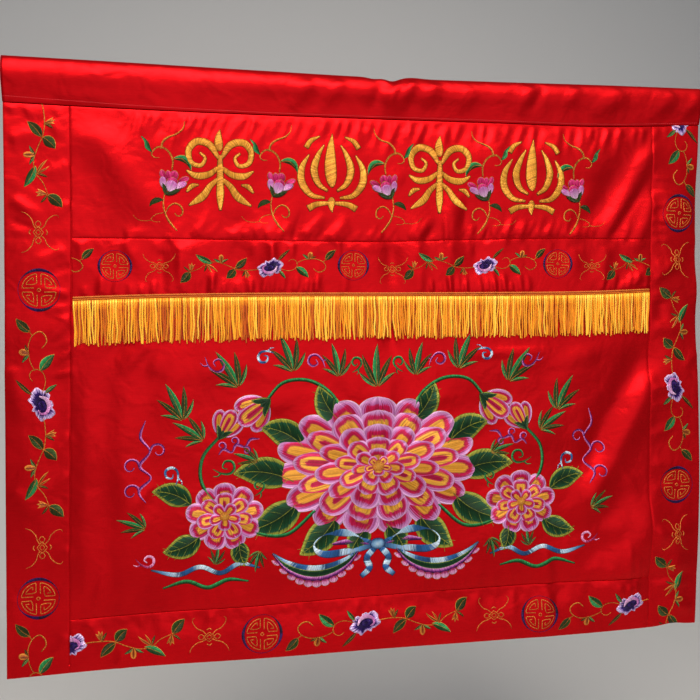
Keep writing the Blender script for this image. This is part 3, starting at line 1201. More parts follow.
        faces = []
        last = 1 + (len(rings) - 1) * spokes
        for spoke in range(spokes):
            after = (spoke + 1) % spokes
            faces.append((0, 1 + spoke, 1 + after))
            for inner in range(1, last, spokes):
                outer = inner + spokes
                faces.append((inner + spoke, outer + spoke, outer + after, inner + after))
            faces.append((last + after, last + spoke, last + spokes))
        self.patch(
            thread, whole(centre + rim * share, centre, centre), whole(height, RIM + lift + crown, -SINK),
            faces, (whole(angle * abs(rim).mean()), whole(abs(rim) * share)),
            (whole(angle / np.pi - 1), whole(share)),
        )


def trim(mesh, cuts):
    """Cuts a flat drawing off beyond each line, given as a point on it and the way out, and closes it."""
    work = bmesh.new()
    work.from_mesh(mesh)
    for place, outward in cuts:
        geometry = work.verts[:] + work.edges[:] + work.faces[:]
        cut = bmesh.ops.bisect_plane(
            work, geom=geometry, plane_co=place, plane_no=outward, clear_outer=True, dist=1e-6
        )
        rims = [part for part in cut["geom_cut"] if isinstance(part, bmesh.types.BMEdge)]
        if rims:
            bmesh.ops.holes_fill(work, edges=rims, sides=0)
    work.to_mesh(mesh)
    work.free()


def sew(group, work, cuts=()):
    """Makes one piece of each thread's patches in a group, laid on the cloth and cut off at lines."""
    rng = np.random.default_rng(STITCH_SEED)
    for thread, patches in work.items():
        places, heights, patch_faces, stitch, fill = zip(*patches)
        faces, own = [], []
        first = 0
        for points, corners_of_each in zip(places, patch_faces):
            faces.extend(tuple(first + corner for corner in face) for face in corners_of_each)
            own.append(np.full(len(points), rng.uniform(0.0, 100.0)))
            first += len(points)
        flat = np.concatenate(places) * MM
        drawn = np.stack([flat.real, flat.imag, np.concatenate(heights) * MM], -1)
        material = bpy.data.materials.get(thread.name) or rayon_thread(thread)
        made = make_object(
            f"{group}_{thread.name}", drawn, faces, material,
            {"stitch": (np.concatenate(stitch) * MM).T, "fill": np.concatenate(fill).T},
            {"own": np.concatenate(own)},
        )
        if cuts:
            trim(made.data, cuts)
        places = np.empty(len(made.data.vertices) * 3)
        made.data.vertices.foreach_get("co", places)
        across, up, height = places.reshape(-1, 3).T
        made.data.vertices.foreach_set("co", hung(across, -up, height).ravel())
        made.data.update()


# Border ornaments


def medallion(pen):
    """A round badge: two crescents round four square-cornered frets."""
    angle = np.linspace(0.0, 2 * np.pi, 61)
    pen.loft(RING, 26.6 * np.exp(1j * angle), 0.25 + 1.9 * np.cos(angle) ** 4)
    inner = np.linspace(0.16, np.pi / 2 - 0.16, 9)
    arc = list(21.6 * np.exp(1j * inner))
    for quarter in range(4):
        part = pen.moved(0, turn=90 * quarter)
        part.stroke(
            FRET, [2.8 + 6.5j, 2.8 + 21.0j] + arc[::-1] + [21.0 + 2.8j, 9.0 + 2.8j], (1.25,) * 4, 1.5, True
        )
        part.stroke(
            FRET,
            [9.0 + 2.8j, 7.4 + 7.4j, 7.4 + 16.2j, 10.8 + 14.4j, 14.6 + 10.4j, 16.2 + 7.0j, 11.8 + 7.0j],
            (1.15,) * 4, 1.5, True,
        )
    pen.stroke(FRET, [-2.4, 2.4j, 2.4, -2.4j, -2.4], (1.2,) * 4, 1.2, True)


def knot(pen):
    """A small lozenge knot with four curling tendrils."""
    for half in pen.halves():
        half.stroke(
            FRET, [4 + 3j, 9 + 8j, 16 + 11j, 22 + 18j, 23 + 24j, 20 + 26j], (1.1, 1.3, 1.2, 1.0, 0.5), 1.6
        )
        half.stroke(FRET, [4 - 3j, 10 - 6j, 17 - 8j, 24 - 14j, 27 - 21j], (1.1, 1.3, 1.2, 1.1, 0.5), 1.6)
        half.stroke(FRET, [6, 11 + 3.4j, 15, 11 - 3.4j, 6], (1.0, 1.2, 1.0), 1.4)
    pen.stroke(FRET, [-8, 6.5j, 8, -6.5j, -8], (1.1,) * 4, 1.4, True)
    pen.stroke(FRET, [-4, 3.2j, 4, -3.2j, -4], (1.0,) * 4, 1.4, True)
    pen.stroke(FRET, [9.5j - 3.5, 11.5j, 9.5j + 3.5], (1.0, 1.5, 1.0), 1.4)
    pen.stroke(FRET, [-9.5j - 3.5, -11.5j, -9.5j + 3.5], (1.0, 1.5, 1.0), 1.4)


def small_leaf(pen, thread, base, tip, width, bow=0.8):
    """A leaf with a gold midrib and a thin gold line round it."""
    spine = pen.blade(thread, base, tip, 1.15 * width, bow, crown=0.45, edge=STEM if width > 6 else None)
    pen.stroke(STEM, spine[: max(3, int(len(spine) * 0.85))], (0.8, 0.6, 0.3), 2.0, lift=0.42, crown=0.2)


def claw_bud(pen, base, tip, spread):
    """A bud of three narrow petals that open from one base."""
    out = (tip - base) * 1j / abs(tip - base) * spread
    for share, width in ((1.0, 3.8), (-1.0, 3.8), (0.0, 4.4)):
        shrink = 1.0 if share == 0 else 0.86
        pen.blade(
            BUD, base, base + (tip - base) * shrink + out * share, width, -share,
            lift=0.0 if share else LAYER * 0.6, crown=0.4, lay="along",
        )


def indigo_flower(pen):
    """A lobed flower with a pale edge and a pale crescent round its heart."""
    def lobes(angle):
        base = 17.0 + 5.0 * np.cos(2 * (angle - 0.35))
        return base + 1.6 * np.cos(7 * angle + 0.6) + 0.8 * np.cos(13 * angle)
    pen.disc(INDIGO, lobes, crown=0.9, spokes=72)
    pen.stroke(
        LILAC, [-11 - 3j, -7 + 5.5j, 2 + 9j, 11 + 6j, 12.5 - 1j, 7 - 4.5j], (1.6, 5.0, 5.4, 4.6, 3.4, 1.2),
        lift=0.75,
    )
    pen.disc(
        INDIGO_HEART, lambda angle: 5.4 + 1.5 * np.cos(2 * (angle - 0.3)), 1.5 + 0.5j, lift=0.8, spokes=24
    )


def flower_arm(pen):
    """The vine on the flower's right: a waving stem with buds and leaves on both sides."""
    pen.stroke(
        STEM, [14, 25 + 3j, 41 + 4j, 58 + 2j, 75 - 5j, 92 - 10j, 108 - 8j, 120 + 1j, 135 + 7j, 143 + 9j],
        (1.4, 1.2, 1.2, 1.1, 0.8), crown=0.4,
    )
    claw_bud(pen, 42 + 4j, 38 + 18j, 4.5)
    small_leaf(pen, DARK_LEAF, 43 + 4j, 49 + 15j, 3.2)
    small_leaf(pen, DARK_LEAF, 61 + 2j, 75 + 17j, 12.0, 1.5)
    small_leaf(pen, DARK_LEAF, 60 + 0j, 41 - 17j, 10.0, -1.5)
    pen.blade(BUD, 84 - 8j, 84 - 23j, 8.0, form=petal_form, lay="along")
    small_leaf(pen, LEAF, 84 - 8j, 72 - 15j, 3.4)
    small_leaf(pen, LEAF, 85 - 8j, 97 - 15j, 3.6, -1.0)
    small_leaf(pen, LEAF, 99 - 8j, 126 - 22j, 8.6, 1.5)
    pen.blade(BUD, 108 - 6j, 90 + 7j, 3.6, 1.2, lay="along")
    pen.blade(BUD, 108 - 6j, 99 + 9j, 2.8, -0.6, lay="along")
    small_leaf(pen, DARK_LEAF, 109 - 6j, 113 + 7j, 3.0)
    small_leaf(pen, DARK_LEAF, 137 + 7j, 152 + 25j, 12.0, 1.5)
    claw_bud(pen, 135 + 6j, 133 - 8j, 5.0)
    small_leaf(pen, DARK_LEAF, 136 + 6j, 147 - 2j, 3.0)


def curl_arm(pen):
    """The vine on the flower's left: two curls, a large leaf, a bud and an end leaf."""
    pen.stroke(
        STEM, [-15 + 1j, -30 + 5j, -42 + 2j, -47 - 6j, -44 - 13j, -37 - 15j, -31 - 11j],
        (1.2, 1.1, 1.2, 0.7), crown=0.4,
    )
    pen.stroke(
        STEM, [-45 - 8j, -58 - 14j, -77 - 16j, -91 - 11j, -97 - 2j, -92 + 5j, -83 + 7j, -75 + 1j],
        (1.0, 1.2, 1.3, 1.4, 1.8, 1.1), crown=0.4,
    )
    pen.stroke(STEM, [-91 - 10j, -95 - 13j, -99 - 15j], (1.3, 1.2, 1.0), crown=0.4)
    small_leaf(pen, DARK_LEAF, -97 - 14j, -114 - 31j, 9.5, 1.2)
    small_leaf(pen, LEAF, -45 - 1j, -66 + 16j, 10.5, 1.5)
    pen.blade(BUD, -68 - 15j, -71 - 28j, 9.0, form=petal_form, lay="along")
    small_leaf(pen, LEAF, -67 - 15j, -56 - 24j, 4.0, -0.8)
    small_leaf(pen, DARK_LEAF, -69 - 15j, -80 - 20j, 3.0)
    small_leaf(pen, LEAF, -14 + 4j, -26 + 19j, 5.0)
    small_leaf(pen, DARK_LEAF, -13 - 12j, -34 - 32j, 4.6)


# Where the vines stand, in millimetres, by panel. Turn is how far the strip's right end is turned.
WHOLE_VINE = (flower_arm, curl_arm, indigo_flower)
SPRAYS = {
    "left_border": (
        (-455, 448, -90, 1.0, WHOLE_VINE), (-452, 34, -90, 1.0, (flower_arm,)),
        (-461, 856, -90, 1.0, (curl_arm,)),
    ),
    "right_border": (
        (461, 446, 90, 1.0, WHOLE_VINE), (462, 42, 90, 1.0, (curl_arm, indigo_flower)),
        (455, 856, 90, 1.0, (flower_arm,)),
    ),
    "upper_strip": (
        (-152, 266, 180, 0.80, WHOLE_VINE), (160, 262, 180, 0.80, WHOLE_VINE),
        (-479, 266, 180, 0.80, (curl_arm,)), (470, 262, 180, 0.80, (flower_arm,)),
    ),
    "lower_strip": (
        (-424, 777, 0, 1.0, (flower_arm, indigo_flower)), (-18, 774, 0, 1.0, WHOLE_VINE),
        (390, 774, 0, 1.0, WHOLE_VINE),
    ),
}


# The upper panel's ornaments


def gold_stroke(pen, points, widths, **ways):
    """A brush-weight stroke of gold satin stitch with a thin brown edge."""
    pen.stroke(GOLD_FILL, points, widths, 2.4, crown=0.9, edge=BROWN_EDGE, **ways)


def flame_palmette(pen):
    """A gold ornament: a flame between two pairs of curved leaves, on a bowed foot."""
    for half in pen.halves():
        gold_stroke(half, [11 - 35j, 30 - 31j, 43 - 14j, 43 + 6j, 33 + 24j], (3.0, 7.5, 10.0, 8.0, 1.6))
        gold_stroke(
            half, [7 - 25j, 20 - 15j, 26 + 4j, 20 + 24j, 12 + 38j], (3.0, 8.0, 10.0, 7.0, 1.4), lift=LAYER
        )
        gold_stroke(half, [37 + 34j, 30 + 44j, 18 + 50j], (7.0, 6.0, 1.4))
        gold_stroke(half, [34 - 50j, 22 - 44j, 4 - 42j], (9.0, 7.0, 4.0))
    pen.blade(
        GOLD_FILL, -20j, 54j, 16.0, 3.0, drop_form, lay="across", crown=1.0, lift=LAYER, edge=BROWN_EDGE
    )
    pen.blade(GOLD_FILL, -34j, -55j, 10.0, -1.5, drop_form, lay="across", crown=0.8, edge=BROWN_EDGE)


def cloud_scroll(pen):
    """A gold ornament: a cloud head of two scrolls over a branching foot."""
    for half in pen.halves():
        gold_stroke(
            half, [2 + 16j, 14 + 34j, 31 + 38j, 42 + 26j, 39 + 10j, 26 + 6j, 20 + 16j, 27 + 23j],
            (4.0, 8.5, 9.5, 9.0, 7.5, 6.0, 4.5, 2.5),
        )
        gold_stroke(half, [3 + 3j, 16 - 6j, 32 - 8j, 45 - 1j], (5.0, 8.0, 8.5, 2.0))
        gold_stroke(half, [3 - 12j, 14 - 22j, 24 - 36j, 42 - 48j], (5.0, 8.0, 9.5, 2.0))
        gold_stroke(half, [29 - 20j, 38 - 22j, 45 - 30j], (2.0, 6.5, 2.0))
    pen.blade(GOLD_FILL, 26j, 55j, 11.0, 2.0, drop_form, lay="across", crown=0.8, edge=BROWN_EDGE)
    gold_stroke(pen, [20j, 2j, -18j, -36j, -54j], (5.0, 8.0, 9.0, 9.5, 3.0), lift=LAYER)


def flower_sprig(pen):
    """A bent stem with one pink flower, long leaves, a curl and thin tendrils."""
    pen.stroke(
        STEM, [-13 + 41j, -11 + 50j, -3 + 57j, 9 + 62j, 16 + 69j, 18 + 78j], (2.6, 3.0, 2.4, 1.8, 0.7)
    )
    pen.stroke(
        STEM, [1 + 13j, 2 + 26j, -3 + 37j, -12 + 43j, -20 + 42j, -26 + 34j, -22 + 29j, -16 + 29j],
        (1.8, 2.6, 2.8, 2.6, 2.4, 1.8, 0.8),
    )
    pen.stroke(LEAF, [-26 + 37j, -31 + 43j, -33 + 50j, -39 + 57j], (2.0, 7.0, 4.0, 1.0), lay="along")
    pen.blade(LEAF, 3 + 28j, 26 + 13j, 8.5, 8.0, edge=STEM)
    pen.stroke(STEM, [4 + 28j, 14 + 28j, 22 + 21j], (0.8, 0.7, 0.4), lift=0.45, crown=0.2)
    pen.stroke(STEM, [-9 - 17j, -11 - 34j, -7 - 50j, 0 - 61j, 7 - 69j], (1.4, 1.8, 2.4, 3.0, 1.4))
    pen.blade(DARK_LEAF, -11 - 28j, -29 - 37j, 7.5, -4.0)
    pen.stroke(
        STEM, [-8 - 45j, -3 - 36j, 5 - 32j, 13 - 37j, 14 - 46j, 8 - 49j, 4 - 45j],
        (1.2, 1.9, 2.4, 2.4, 2.0, 1.0), crown=0.45,
    )
    pen.stroke(
        STEM, [-11 - 45j, -20 - 47j, -27 - 53j, -23 - 57j, -15 - 57j], (0.9, 0.9, 0.7, 0.5), crown=0.2
    )
    pen.stroke(STEM, [-26 - 55j, -36 - 56j, -45 - 54j, -51 - 48j], (0.8, 0.6, 0.5), crown=0.2)
    for thread, base, tip, width, bow, lift in (
        (MAGENTA, -3 - 4j, -13 + 13j, 8.5, 2.0, 0.0), (MAGENTA, 0 - 4j, 5 + 12j, 12.0, 0.0, 0.0),
        (MAGENTA, 7 - 7j, 23 + 3j, 8.0, 1.0, 0.0), (MAGENTA, -1 - 6j, -5 + 12j, 8.0, 0.0, 0.3),
        (LILAC, -8 - 13j, -11 + 4j, 9.0, 1.5, 0.5), (LILAC, 2 - 12j, 20 - 4j, 8.5, 0.5, 0.5),
        (MAGENTA, -2 - 14j, 3 + 3j, 15.0, 0.0, 0.8), (LILAC, -3 - 16j, 2 - 1j, 15.0, 0.0, 1.1),
    ):
        pen.blade(
            thread, base, tip, width, bow, petal_form, lay="fan", crown=0.6, lift=lift, edge=PETAL_EDGE
        )
    pen.blade(DARK_LEAF, -8 - 20j, -12 - 5j, 6.0, -1.0, lift=1.1)
    pen.blade(DARK_LEAF, -9 - 20j, 12 - 13j, 6.5, -1.0, lift=1.1)


# The main panel's bouquet


def petal_ring(pen, thread, count, inner, length, width, squash, lift, start=90.0):
    """A ring of round petals that open from the flower's middle."""
    for index in range(count):
        angle = math.radians(start + 360 * index / count)
        aim = complex(math.cos(angle), squash * math.sin(angle))
        narrowing = 1 - (1 - squash) * abs(math.cos(angle))
        pen.blade(
            thread, inner * aim, (inner + length) * aim, width * narrowing, form=petal_form, lay="fan",
            lift=lift + 0.5 * LAYER * (index % 2), crown=0.7, edge=PETAL_EDGE, spacing=2.6,
        )


def rosette(pen, rings, heart, squash):
    """A full flower: rings of petals from the outside in, round a dotted heart."""
    for layer, (thread, count, inner, length, width, start) in enumerate(rings):
        petal_ring(pen, thread, count, inner, length, width, squash, 1.2 * LAYER * layer, start)
    top = 1.2 * LAYER * len(rings)
    pen.disc(
        HEART, lambda angle: np.full_like(angle, heart), lift=top, crown=0.9, spokes=28, edge=BROWN_EDGE
    )
    for index in range(9):
        dot = 0.62 * heart * cmath.exp(2j * math.pi * index / 9)
        pen.disc(
            BUD, lambda angle: np.full_like(angle, 0.11 * heart), dot, lift=top + 0.7, crown=0.3, spokes=8
        )


def broad_leaf(pen, base, tip, width, bow=0.0):
    """A large leaf with a lime edge, a midrib and side veins."""
    spine = pen.blade(BROAD_LEAF, base, tip, width, bow, leaf_form, crown=0.7, edge=BROWN_EDGE)
    pen.stroke(LIME, spine[1:-1], (1.6, 1.2, 0.6), 3.0, lift=0.55, crown=0.3)
    aim = (tip - base) / abs(tip - base)
    for share in (0.22, 0.38, 0.54, 0.70):
        root = spine[round(share * (len(spine) - 1))]
        reach = 0.36 * width * math.sin(math.pi * share**0.85)
        for side in (1j, -1j):
            pen.stroke(
                LIME, [root, root + aim * reach * (0.45 + 0.5 * side), root + aim * reach * (1.1 + side)],
                (0.9, 0.7, 0.3), 3.0, lift=0.5, crown=0.2,
            )


def leaf_fan(pen, lengths=(30, 44, 52, 42, 28), spread=25.0):
    """A fan of slender leaves from one point, each with a fine gold midrib."""
    for index, length in enumerate(lengths):
        aim = cmath.exp(1j * math.radians(90 + spread * ((len(lengths) - 1) / 2 - index)))
        thread = DARK_LEAF if index % 2 else LEAF
        spine = pen.blade(thread, 2 * aim, length * aim, 0.17 * length, 1.5)
        pen.stroke(STEM, spine[:-2], (0.8, 0.6, 0.3), 3.0, lift=0.4, crown=0.2)


def tulip_bud(pen):
    """A closed bud of three petals in a green cup, upright on its stem's end."""
    pen.blade(PINK_BANDS, -2j, -18 + 36j, 22.0, 4.0, petal_form, lay="fan", crown=0.7, edge=PETAL_EDGE)
    pen.blade(PINK_BANDS, -2j, 18 + 36j, 22.0, -4.0, petal_form, lay="fan", crown=0.7, edge=PETAL_EDGE)
    pen.blade(
        GOLD_BANDS, -4j, 44j, 27.0, 0.0, petal_form, lay="fan", crown=0.8, lift=LAYER, edge=PETAL_EDGE
    )
    for tip, bow in ((-15 + 12j, -3.0), (15 + 12j, 3.0), (13j, 0.0)):
        pen.blade(BROAD_LEAF, -9j, tip, 10.0, bow, crown=0.6, lift=1.6 * LAYER, edge=BROWN_EDGE)


def ribbon_bow(pen):
    """A blue and white ribbon tied under the bouquet, with two loops and two tails."""
    for half in pen.halves():
        half.stroke(SCROLL, [10, 42 + 5j, 66 + 3j], (4.0, 8.0, 3.0), 3.0, crown=0.6, edge=RING)
        half.stroke(
            RIBBON, [8, 40 + 17j, 76 + 17j, 92 + 2j, 76 - 11j, 40 - 8j, 8 - 2j],
            (7.0, 10.0, 10.0, 9.0, 10.0, 9.0, 7.0), 3.0, crown=0.8, edge=RING,
        )
        half.stroke(
            RIBBON, [5 - 6j, 16 - 20j, 12 - 34j, 24 - 46j], (8.0, 9.0, 9.0, 6.0), 3.0, crown=0.7,
            lift=LAYER, edge=RING,
        )
    pen.disc(
        RIBBON_KNOT, lambda angle: 9 + 1.5 * np.cos(2 * angle), lift=2 * LAYER, crown=0.9, spokes=28,
        edge=RING,
    )


RUFFLE_LOBES = 11


def swag(pen, width, sag):
    """A swag hung between two points: a blue and white cord, a green band and a scalloped rose ruffle."""
    span = np.linspace(0.0, 1.0, 9)
    hang = width * span - 4j * sag * span * (1 - span)
    for thread, offset, breadth in ((RIBBON, 0, 7.0), (BROAD_LEAF, 8, 8.5), (SCROLL, 15.5, 6.0)):
        pen.stroke(
            thread, hang - 1j * offset * np.sin(np.pi * span) ** 0.5, (2.0, breadth, breadth, 2.0), 3.0,
            crown=0.6, lift=0.1, edge=BROWN_EDGE,
        )
    for index in range(RUFFLE_LOBES):
        share = (index + 0.5) / RUFFLE_LOBES
        slope = cmath.exp(1j * math.atan2(-4 * sag * (1 - 2 * share), width))
        root = width * share - 4j * sag * share * (1 - share) - 16j * math.sin(math.pi * share) ** 0.5
        pen.blade(
            RUFFLE, root, root - 12j * slope * (0.4 + 0.6 * math.sin(math.pi * share)), width / 10, 0.0,
            petal_form, lay="fan", crown=0.6, edge=PETAL_EDGE,
        )


def scroll_vine(pen, size):
    """A waving purple ribbon with a spiral at each bend."""
    pen.stroke(
        SCROLL,
        [
            size * place
            for place in (-1j, 0.16 - 0.7j, -0.12 - 0.4j, 0.14 - 0.1j, -0.10 + 0.25j, 0.12 + 0.6j, 1j)
        ],
        (1.0, 4.0, 2.5, 4.5, 2.5, 4.0, 1.0), 2.5,
    )
    turn = np.linspace(0.0, 1.9 * math.pi, 9)
    for place, side in ((0.14 - 0.1j, 1), (-0.10 + 0.25j, -1), (0.14 - 0.72j, 1)):
        spiral = place + side * 0.2 * (1 - np.exp(-1j * side * turn) * (1 - 0.62 * turn / turn[-1]))
        pen.stroke(SCROLL, size * spiral, (3.5, 3.0, 2.4, 1.2), 2.0)


def curl(pen, thread, size):
    """A small curl with a forked tail."""
    hook = [
        -1.4 - 0.5j, -0.7 + 0.3j, 0.2 + 0.7j, 0.9 + 0.3j, 0.9 - 0.5j, 0.2 - 0.8j, -0.3 - 0.3j, 0.1 + 0.1j
    ]
    pen.stroke(thread, [size * place for place in hook], (0.8, 2.8, 3.6, 3.2, 1.2), 2.0)
    pen.stroke(
        thread, [size * place for place in (-0.7 + 0.3j, -1.2 + 0.5j, -1.7 + 0.3j)], (2.4, 1.8, 0.6), 2.0,
        crown=0.4,
    )


# One half of the bouquet, in its own millimetres: leaves by base, tip, width and bow, fans by place,
# turn and scale, curls by place, turn, size and thread, and ribbons' ends by path, widths and thread
BROAD_LEAVES = (
    (120 - 18j, 204 - 4j, 44.0, 8.0), (112 - 44j, 186 - 84j, 44.0, -8.0),
    (60 - 70j, 112 - 122j, 42.0, -5.0), (104 + 28j, 168 + 60j, 40.0, 8.0),
    (50 + 62j, 84 + 118j, 36.0, -6.0), (12 - 84j, 40 - 124j, 34.0, 3.0),
    (250 - 88j, 300 - 108j, 32.0, -5.0), (262 - 44j, 314 - 24j, 32.0, 6.0),
    (196 - 96j, 188 - 132j, 26.0, 3.0),
)
FANS = (
    (56 + 128j, -12, 0.95), (120 + 136j, -20, 1.1), (196 + 116j, -32, 1.15), (244 + 44j, -58, 0.95),
    (272 + 72j, -24, 1.1), (168 - 112j, -168, 0.6), (322 - 74j, -70, 0.8), (230 - 128j, 10, 0.55),
    (170 + 12j, -70, 0.7),
)
CURLS = (
    (88 + 152j, 20, 11, SCROLL), (160 + 160j, -30, 10, RIBBON), (228 + 148j, 200, 12, SCROLL),
    (214 + 4j, 160, 12, LEAF), (168 - 24j, 100, 9, LEAF), (286 - 2j, 60, 11, RIBBON),
    (30 + 146j, 100, 9, LEAF), (322 - 120j, 180, 10, RUFFLE),
)
RIBBON_ENDS = (
    (
        [168 - 136j, 196 - 128j, 222 - 140j, 250 - 130j, 280 - 140j, 316 - 132j],
        (1.5, 6.0, 6.0, 6.0, 6.0, 1.5), RIBBON,
    ),
    ([184 - 154j, 212 - 150j, 240 - 160j, 268 - 150j, 300 - 158j], (1.5, 5.0, 5.0, 5.0, 1.5), LEAF),
)


def bouquet(pen):
    """A mirror-even bouquet: one full flower, two lesser ones, buds, leaves, scrolls, swags and a ribbon."""
    for half in pen.halves():
        for path, widths in (
            ([90 - 60j, 130 - 92j, 176 - 86j, 214 - 62j], (4.0, 4.6, 4.0)),
            ([50 + 72j, 66 + 104j, 98 + 124j, 134 + 122j, 158 + 98j], (3.6, 4.4, 4.2, 3.4)),
            ([216 - 56j, 246 - 18j, 246 + 20j, 222 + 50j], (3.6, 4.2, 3.4)),
        ):
            half.stroke(LEAF, path, widths, 3.0, crown=0.7, edge=BROWN_EDGE)
        for leaf in BROAD_LEAVES:
            broad_leaf(half, *leaf)
        for place, turn, scale in FANS:
            leaf_fan(half.moved(place, turn, scale))
        for place, turn, size, thread in CURLS:
            curl(half.moved(place, turn), thread, size)
        for path, widths, thread in RIBBON_ENDS:
            half.stroke(thread, path, widths, 3.0, edge=BROWN_EDGE)
        scroll_vine(half.moved(322 + 18j), 56)
        scroll_vine(half.moved(196 + 34j, 70), 30)
        swag(half.moved(26 - 118j), 124.0, 24.0)
        tulip_bud(half.moved(160 + 94j, -128, 1.05))
        tulip_bud(half.moved(220 + 52j, 28, 0.85))
        rosette(
            half.moved(216 - 62j),
            (
                (PINK_BANDS, 9, 16, 38, 33, 90), (GOLD_BANDS, 7, 8, 31, 27, 90),
                (PINK_BANDS, 5, 2, 21, 19, 54),
            ),
            7.0, 0.86,
        )
    leaf_fan(pen.moved(112j, 0, 1.2))
    rosette(
        pen,
        (
            (PINK_BANDS, 15, 64, 86, 60, 90), (GOLD_BANDS, 13, 44, 78, 56, 90),
            (PINK_BANDS, 11, 26, 66, 50, 90), (GOLD_BANDS, 9, 12, 52, 42, 90),
            (PINK_BANDS, 7, 5, 35, 32, 90), (GOLD_BANDS, 5, 2, 20, 19, 54),
        ),
        9.0, 0.66,
    )
    ribbon_bow(pen.moved(-112j))


# Where every other ornament stands, in millimetres: across, drop, turn, scale and whether it is mirrored
PLACES = {
    "ornament": (
        (cloud_scroll, (-220, 133)), (flame_palmette, (-65, 133)), (cloud_scroll, (90, 133)),
        (flame_palmette, (230, 133)),
    ),
    "sprig": tuple(
        (flower_sprig, (across, 147, 0, 1.0, mirrored))
        for across, mirrored in ((-285, False), (-140, False), (12, True), (155, True), (295, True))
    ),
    "medallion": tuple(
        (medallion, place)
        for place in (
            (-457, 296, -90), (-463, 709, -90), (464, 182, 90), (467, 596, 90), (-360, 264, 180, 0.79),
            (-35, 262, 180, 0.79), (271, 259, 180, 0.79), (-165, 779), (246, 780),
        )
    ),
    "knot": tuple(
        (knot, place)
        for place in (
            (-457, 220, -90), (-457, 640, -90), (463, 252, 90), (465, 670, 90), (-302, 264, 180, 0.8),
            (22, 267, 180, 0.8), (325, 262, 180, 0.8), (-238, 777), (175, 777),
        )
    ),
    "bouquet": ((bouquet, (0, 548)),),
}


def embroider(group):
    """Draws one group of ornaments and sews it on."""
    work = {}
    for draw, place in PLACES[group]:
        draw(Pen(work, *place))
    sew(group, work)


# The studio
Lamp = namedtuple("Lamp", "name place aim width height power colour spread")
LAMPS = (
    Lamp("key_softbox", (-0.5, -2.4, 2.05), (-0.05, 0.0, -0.4), 1.9, 1.9, 46.0, "#FFF6EC", 100.0),
    Lamp("top_softbox", (0.4, -0.9, 1.6), (0.1, 0.0, -0.3), 1.2, 0.6, 8.0, "#FFFAF2", 180.0),
    Lamp("fill_softbox", (0.2, -3.0, -0.2), (0.0, 0.0, -0.4), 3.0, 2.0, 31.0, "#F0F4FF", 180.0),
)
FLOOR_REACH = 4.0
FLOOR_BACK = 2.6
BACKDROP_HEIGHT = 4.0
SWEEP_RADIUS = 0.8
SWEEP_STEPS = 24
CAMERA_PLACE = (-0.199, -1.018, -0.352)
CAMERA_TURN = (math.radians(88.32), 0.0, math.radians(-8.89))
SENSOR_WIDTH = 36.0


def add_stage(context):
    """A pale floor that sweeps up into a backdrop, soft studio lights and the camera."""
    settings = context.scene.frontal_stage
    bpy.ops.mesh.primitive_plane_add(size=1.0)
    floor = context.object
    floor.name = "studio_floor"
    places = [
        (x, y, settings.floor_height)
        for y in (-FLOOR_REACH, FLOOR_BACK) for x in (-FLOOR_REACH, FLOOR_REACH)
    ]
    floor.data.vertices.foreach_set("co", np.ravel(places))
    bpy.ops.object.select_all(action="DESELECT")
    floor.select_set(True)
    bpy.ops.object.mode_set(mode="EDIT")
    bpy.ops.mesh.select_all(action="DESELECT")
    bpy.ops.object.mode_set(mode="OBJECT")
    for edge in floor.data.edges:
        ends = [floor.data.vertices[index] for index in edge.vertices]
        edge.select = all(end.co.y > 0.0 for end in ends)
    bpy.ops.object.mode_set(mode="EDIT")
    bpy.ops.mesh.select_mode(type="EDGE")
    bpy.ops.mesh.extrude_region_move(TRANSFORM_OT_translate={"value": (0.0, 0.0, BACKDROP_HEIGHT)})
    bpy.ops.object.mode_set(mode="OBJECT")
    sweep = floor.modifiers.new("sweep", "BEVEL")
    sweep.width = SWEEP_RADIUS
    sweep.segments = SWEEP_STEPS
    sweep.limit_method = "ANGLE"
    bpy.ops.object.modifier_apply(modifier=sweep.name)
    bpy.ops.object.shade_smooth()
    made, tree = blank_material("matt_studio_paint")
    shader = node(
        tree, "BsdfPrincipled", inputs={"Base Color": (*settings.floor_colour, 1.0), "Roughness": 0.9}
    )
    node(tree, "OutputMaterial", inputs={"Surface": shader["BSDF"]})
    floor.data.materials.append(made)
    world = bpy.data.worlds.new("studio_air")
    world.use_nodes = True
    world.node_tree.nodes["Background"].inputs["Color"].default_value = linear("#D8DCE4")
    world.node_tree.nodes["Background"].inputs["Strength"].default_value = settings.air_strength
    context.scene.world = world
    for lamp in LAMPS:
        bpy.ops.object.light_add(type="AREA", location=lamp.place)
        light = context.object
        light.name = lamp.name
        light.data.shape = "RECTANGLE"
        light.data.size = lamp.width
        light.data.size_y = lamp.height
        light.data.energy = lamp.power * settings.light_power
        light.data.spread = math.radians(lamp.spread)
        light.data.color = linear(lamp.colour)[:3]
        aim = Vector(np.array(lamp.aim) - np.array(lamp.place))
        light.rotation_euler = aim.to_track_quat("-Z", "Y").to_euler()
    bpy.ops.object.camera_add(location=CAMERA_PLACE, rotation=CAMERA_TURN)
    camera = context.object
    camera.name = "photo_view"
    camera.data.sensor_width = SENSOR_WIDTH
    camera.data.lens = settings.lens
    context.scene.camera = camera
    context.scene.view_settings.view_transform = "Standard"


class FrontalSatin(bpy.types.PropertyGroup):
    """What a user may change on the satin."""

    light_red: FloatVectorProperty(
        name="Light red", description="Lit colour of the satin", subtype="COLOR",
        default=linear("#CC0812")[:3], min=0.0, max=1.0,
    )
    deep_red: FloatVectorProperty(
        name="Deep red", description="Shaded colour of the satin", subtype="COLOR",
        default=linear("#AA040C")[:3], min=0.0, max=1.0,
    )
    roughness: FloatProperty(
        name="Roughness", description="Width of the satin's gloss", default=0.43, min=0.05, max=1.0,
        subtype="FACTOR",
    )
    float_spacing: FloatProperty(
        name="Float spacing", description="Spacing of the drawn threads", default=0.0015, min=0.0002,
        max=0.01, unit="LENGTH",
    )


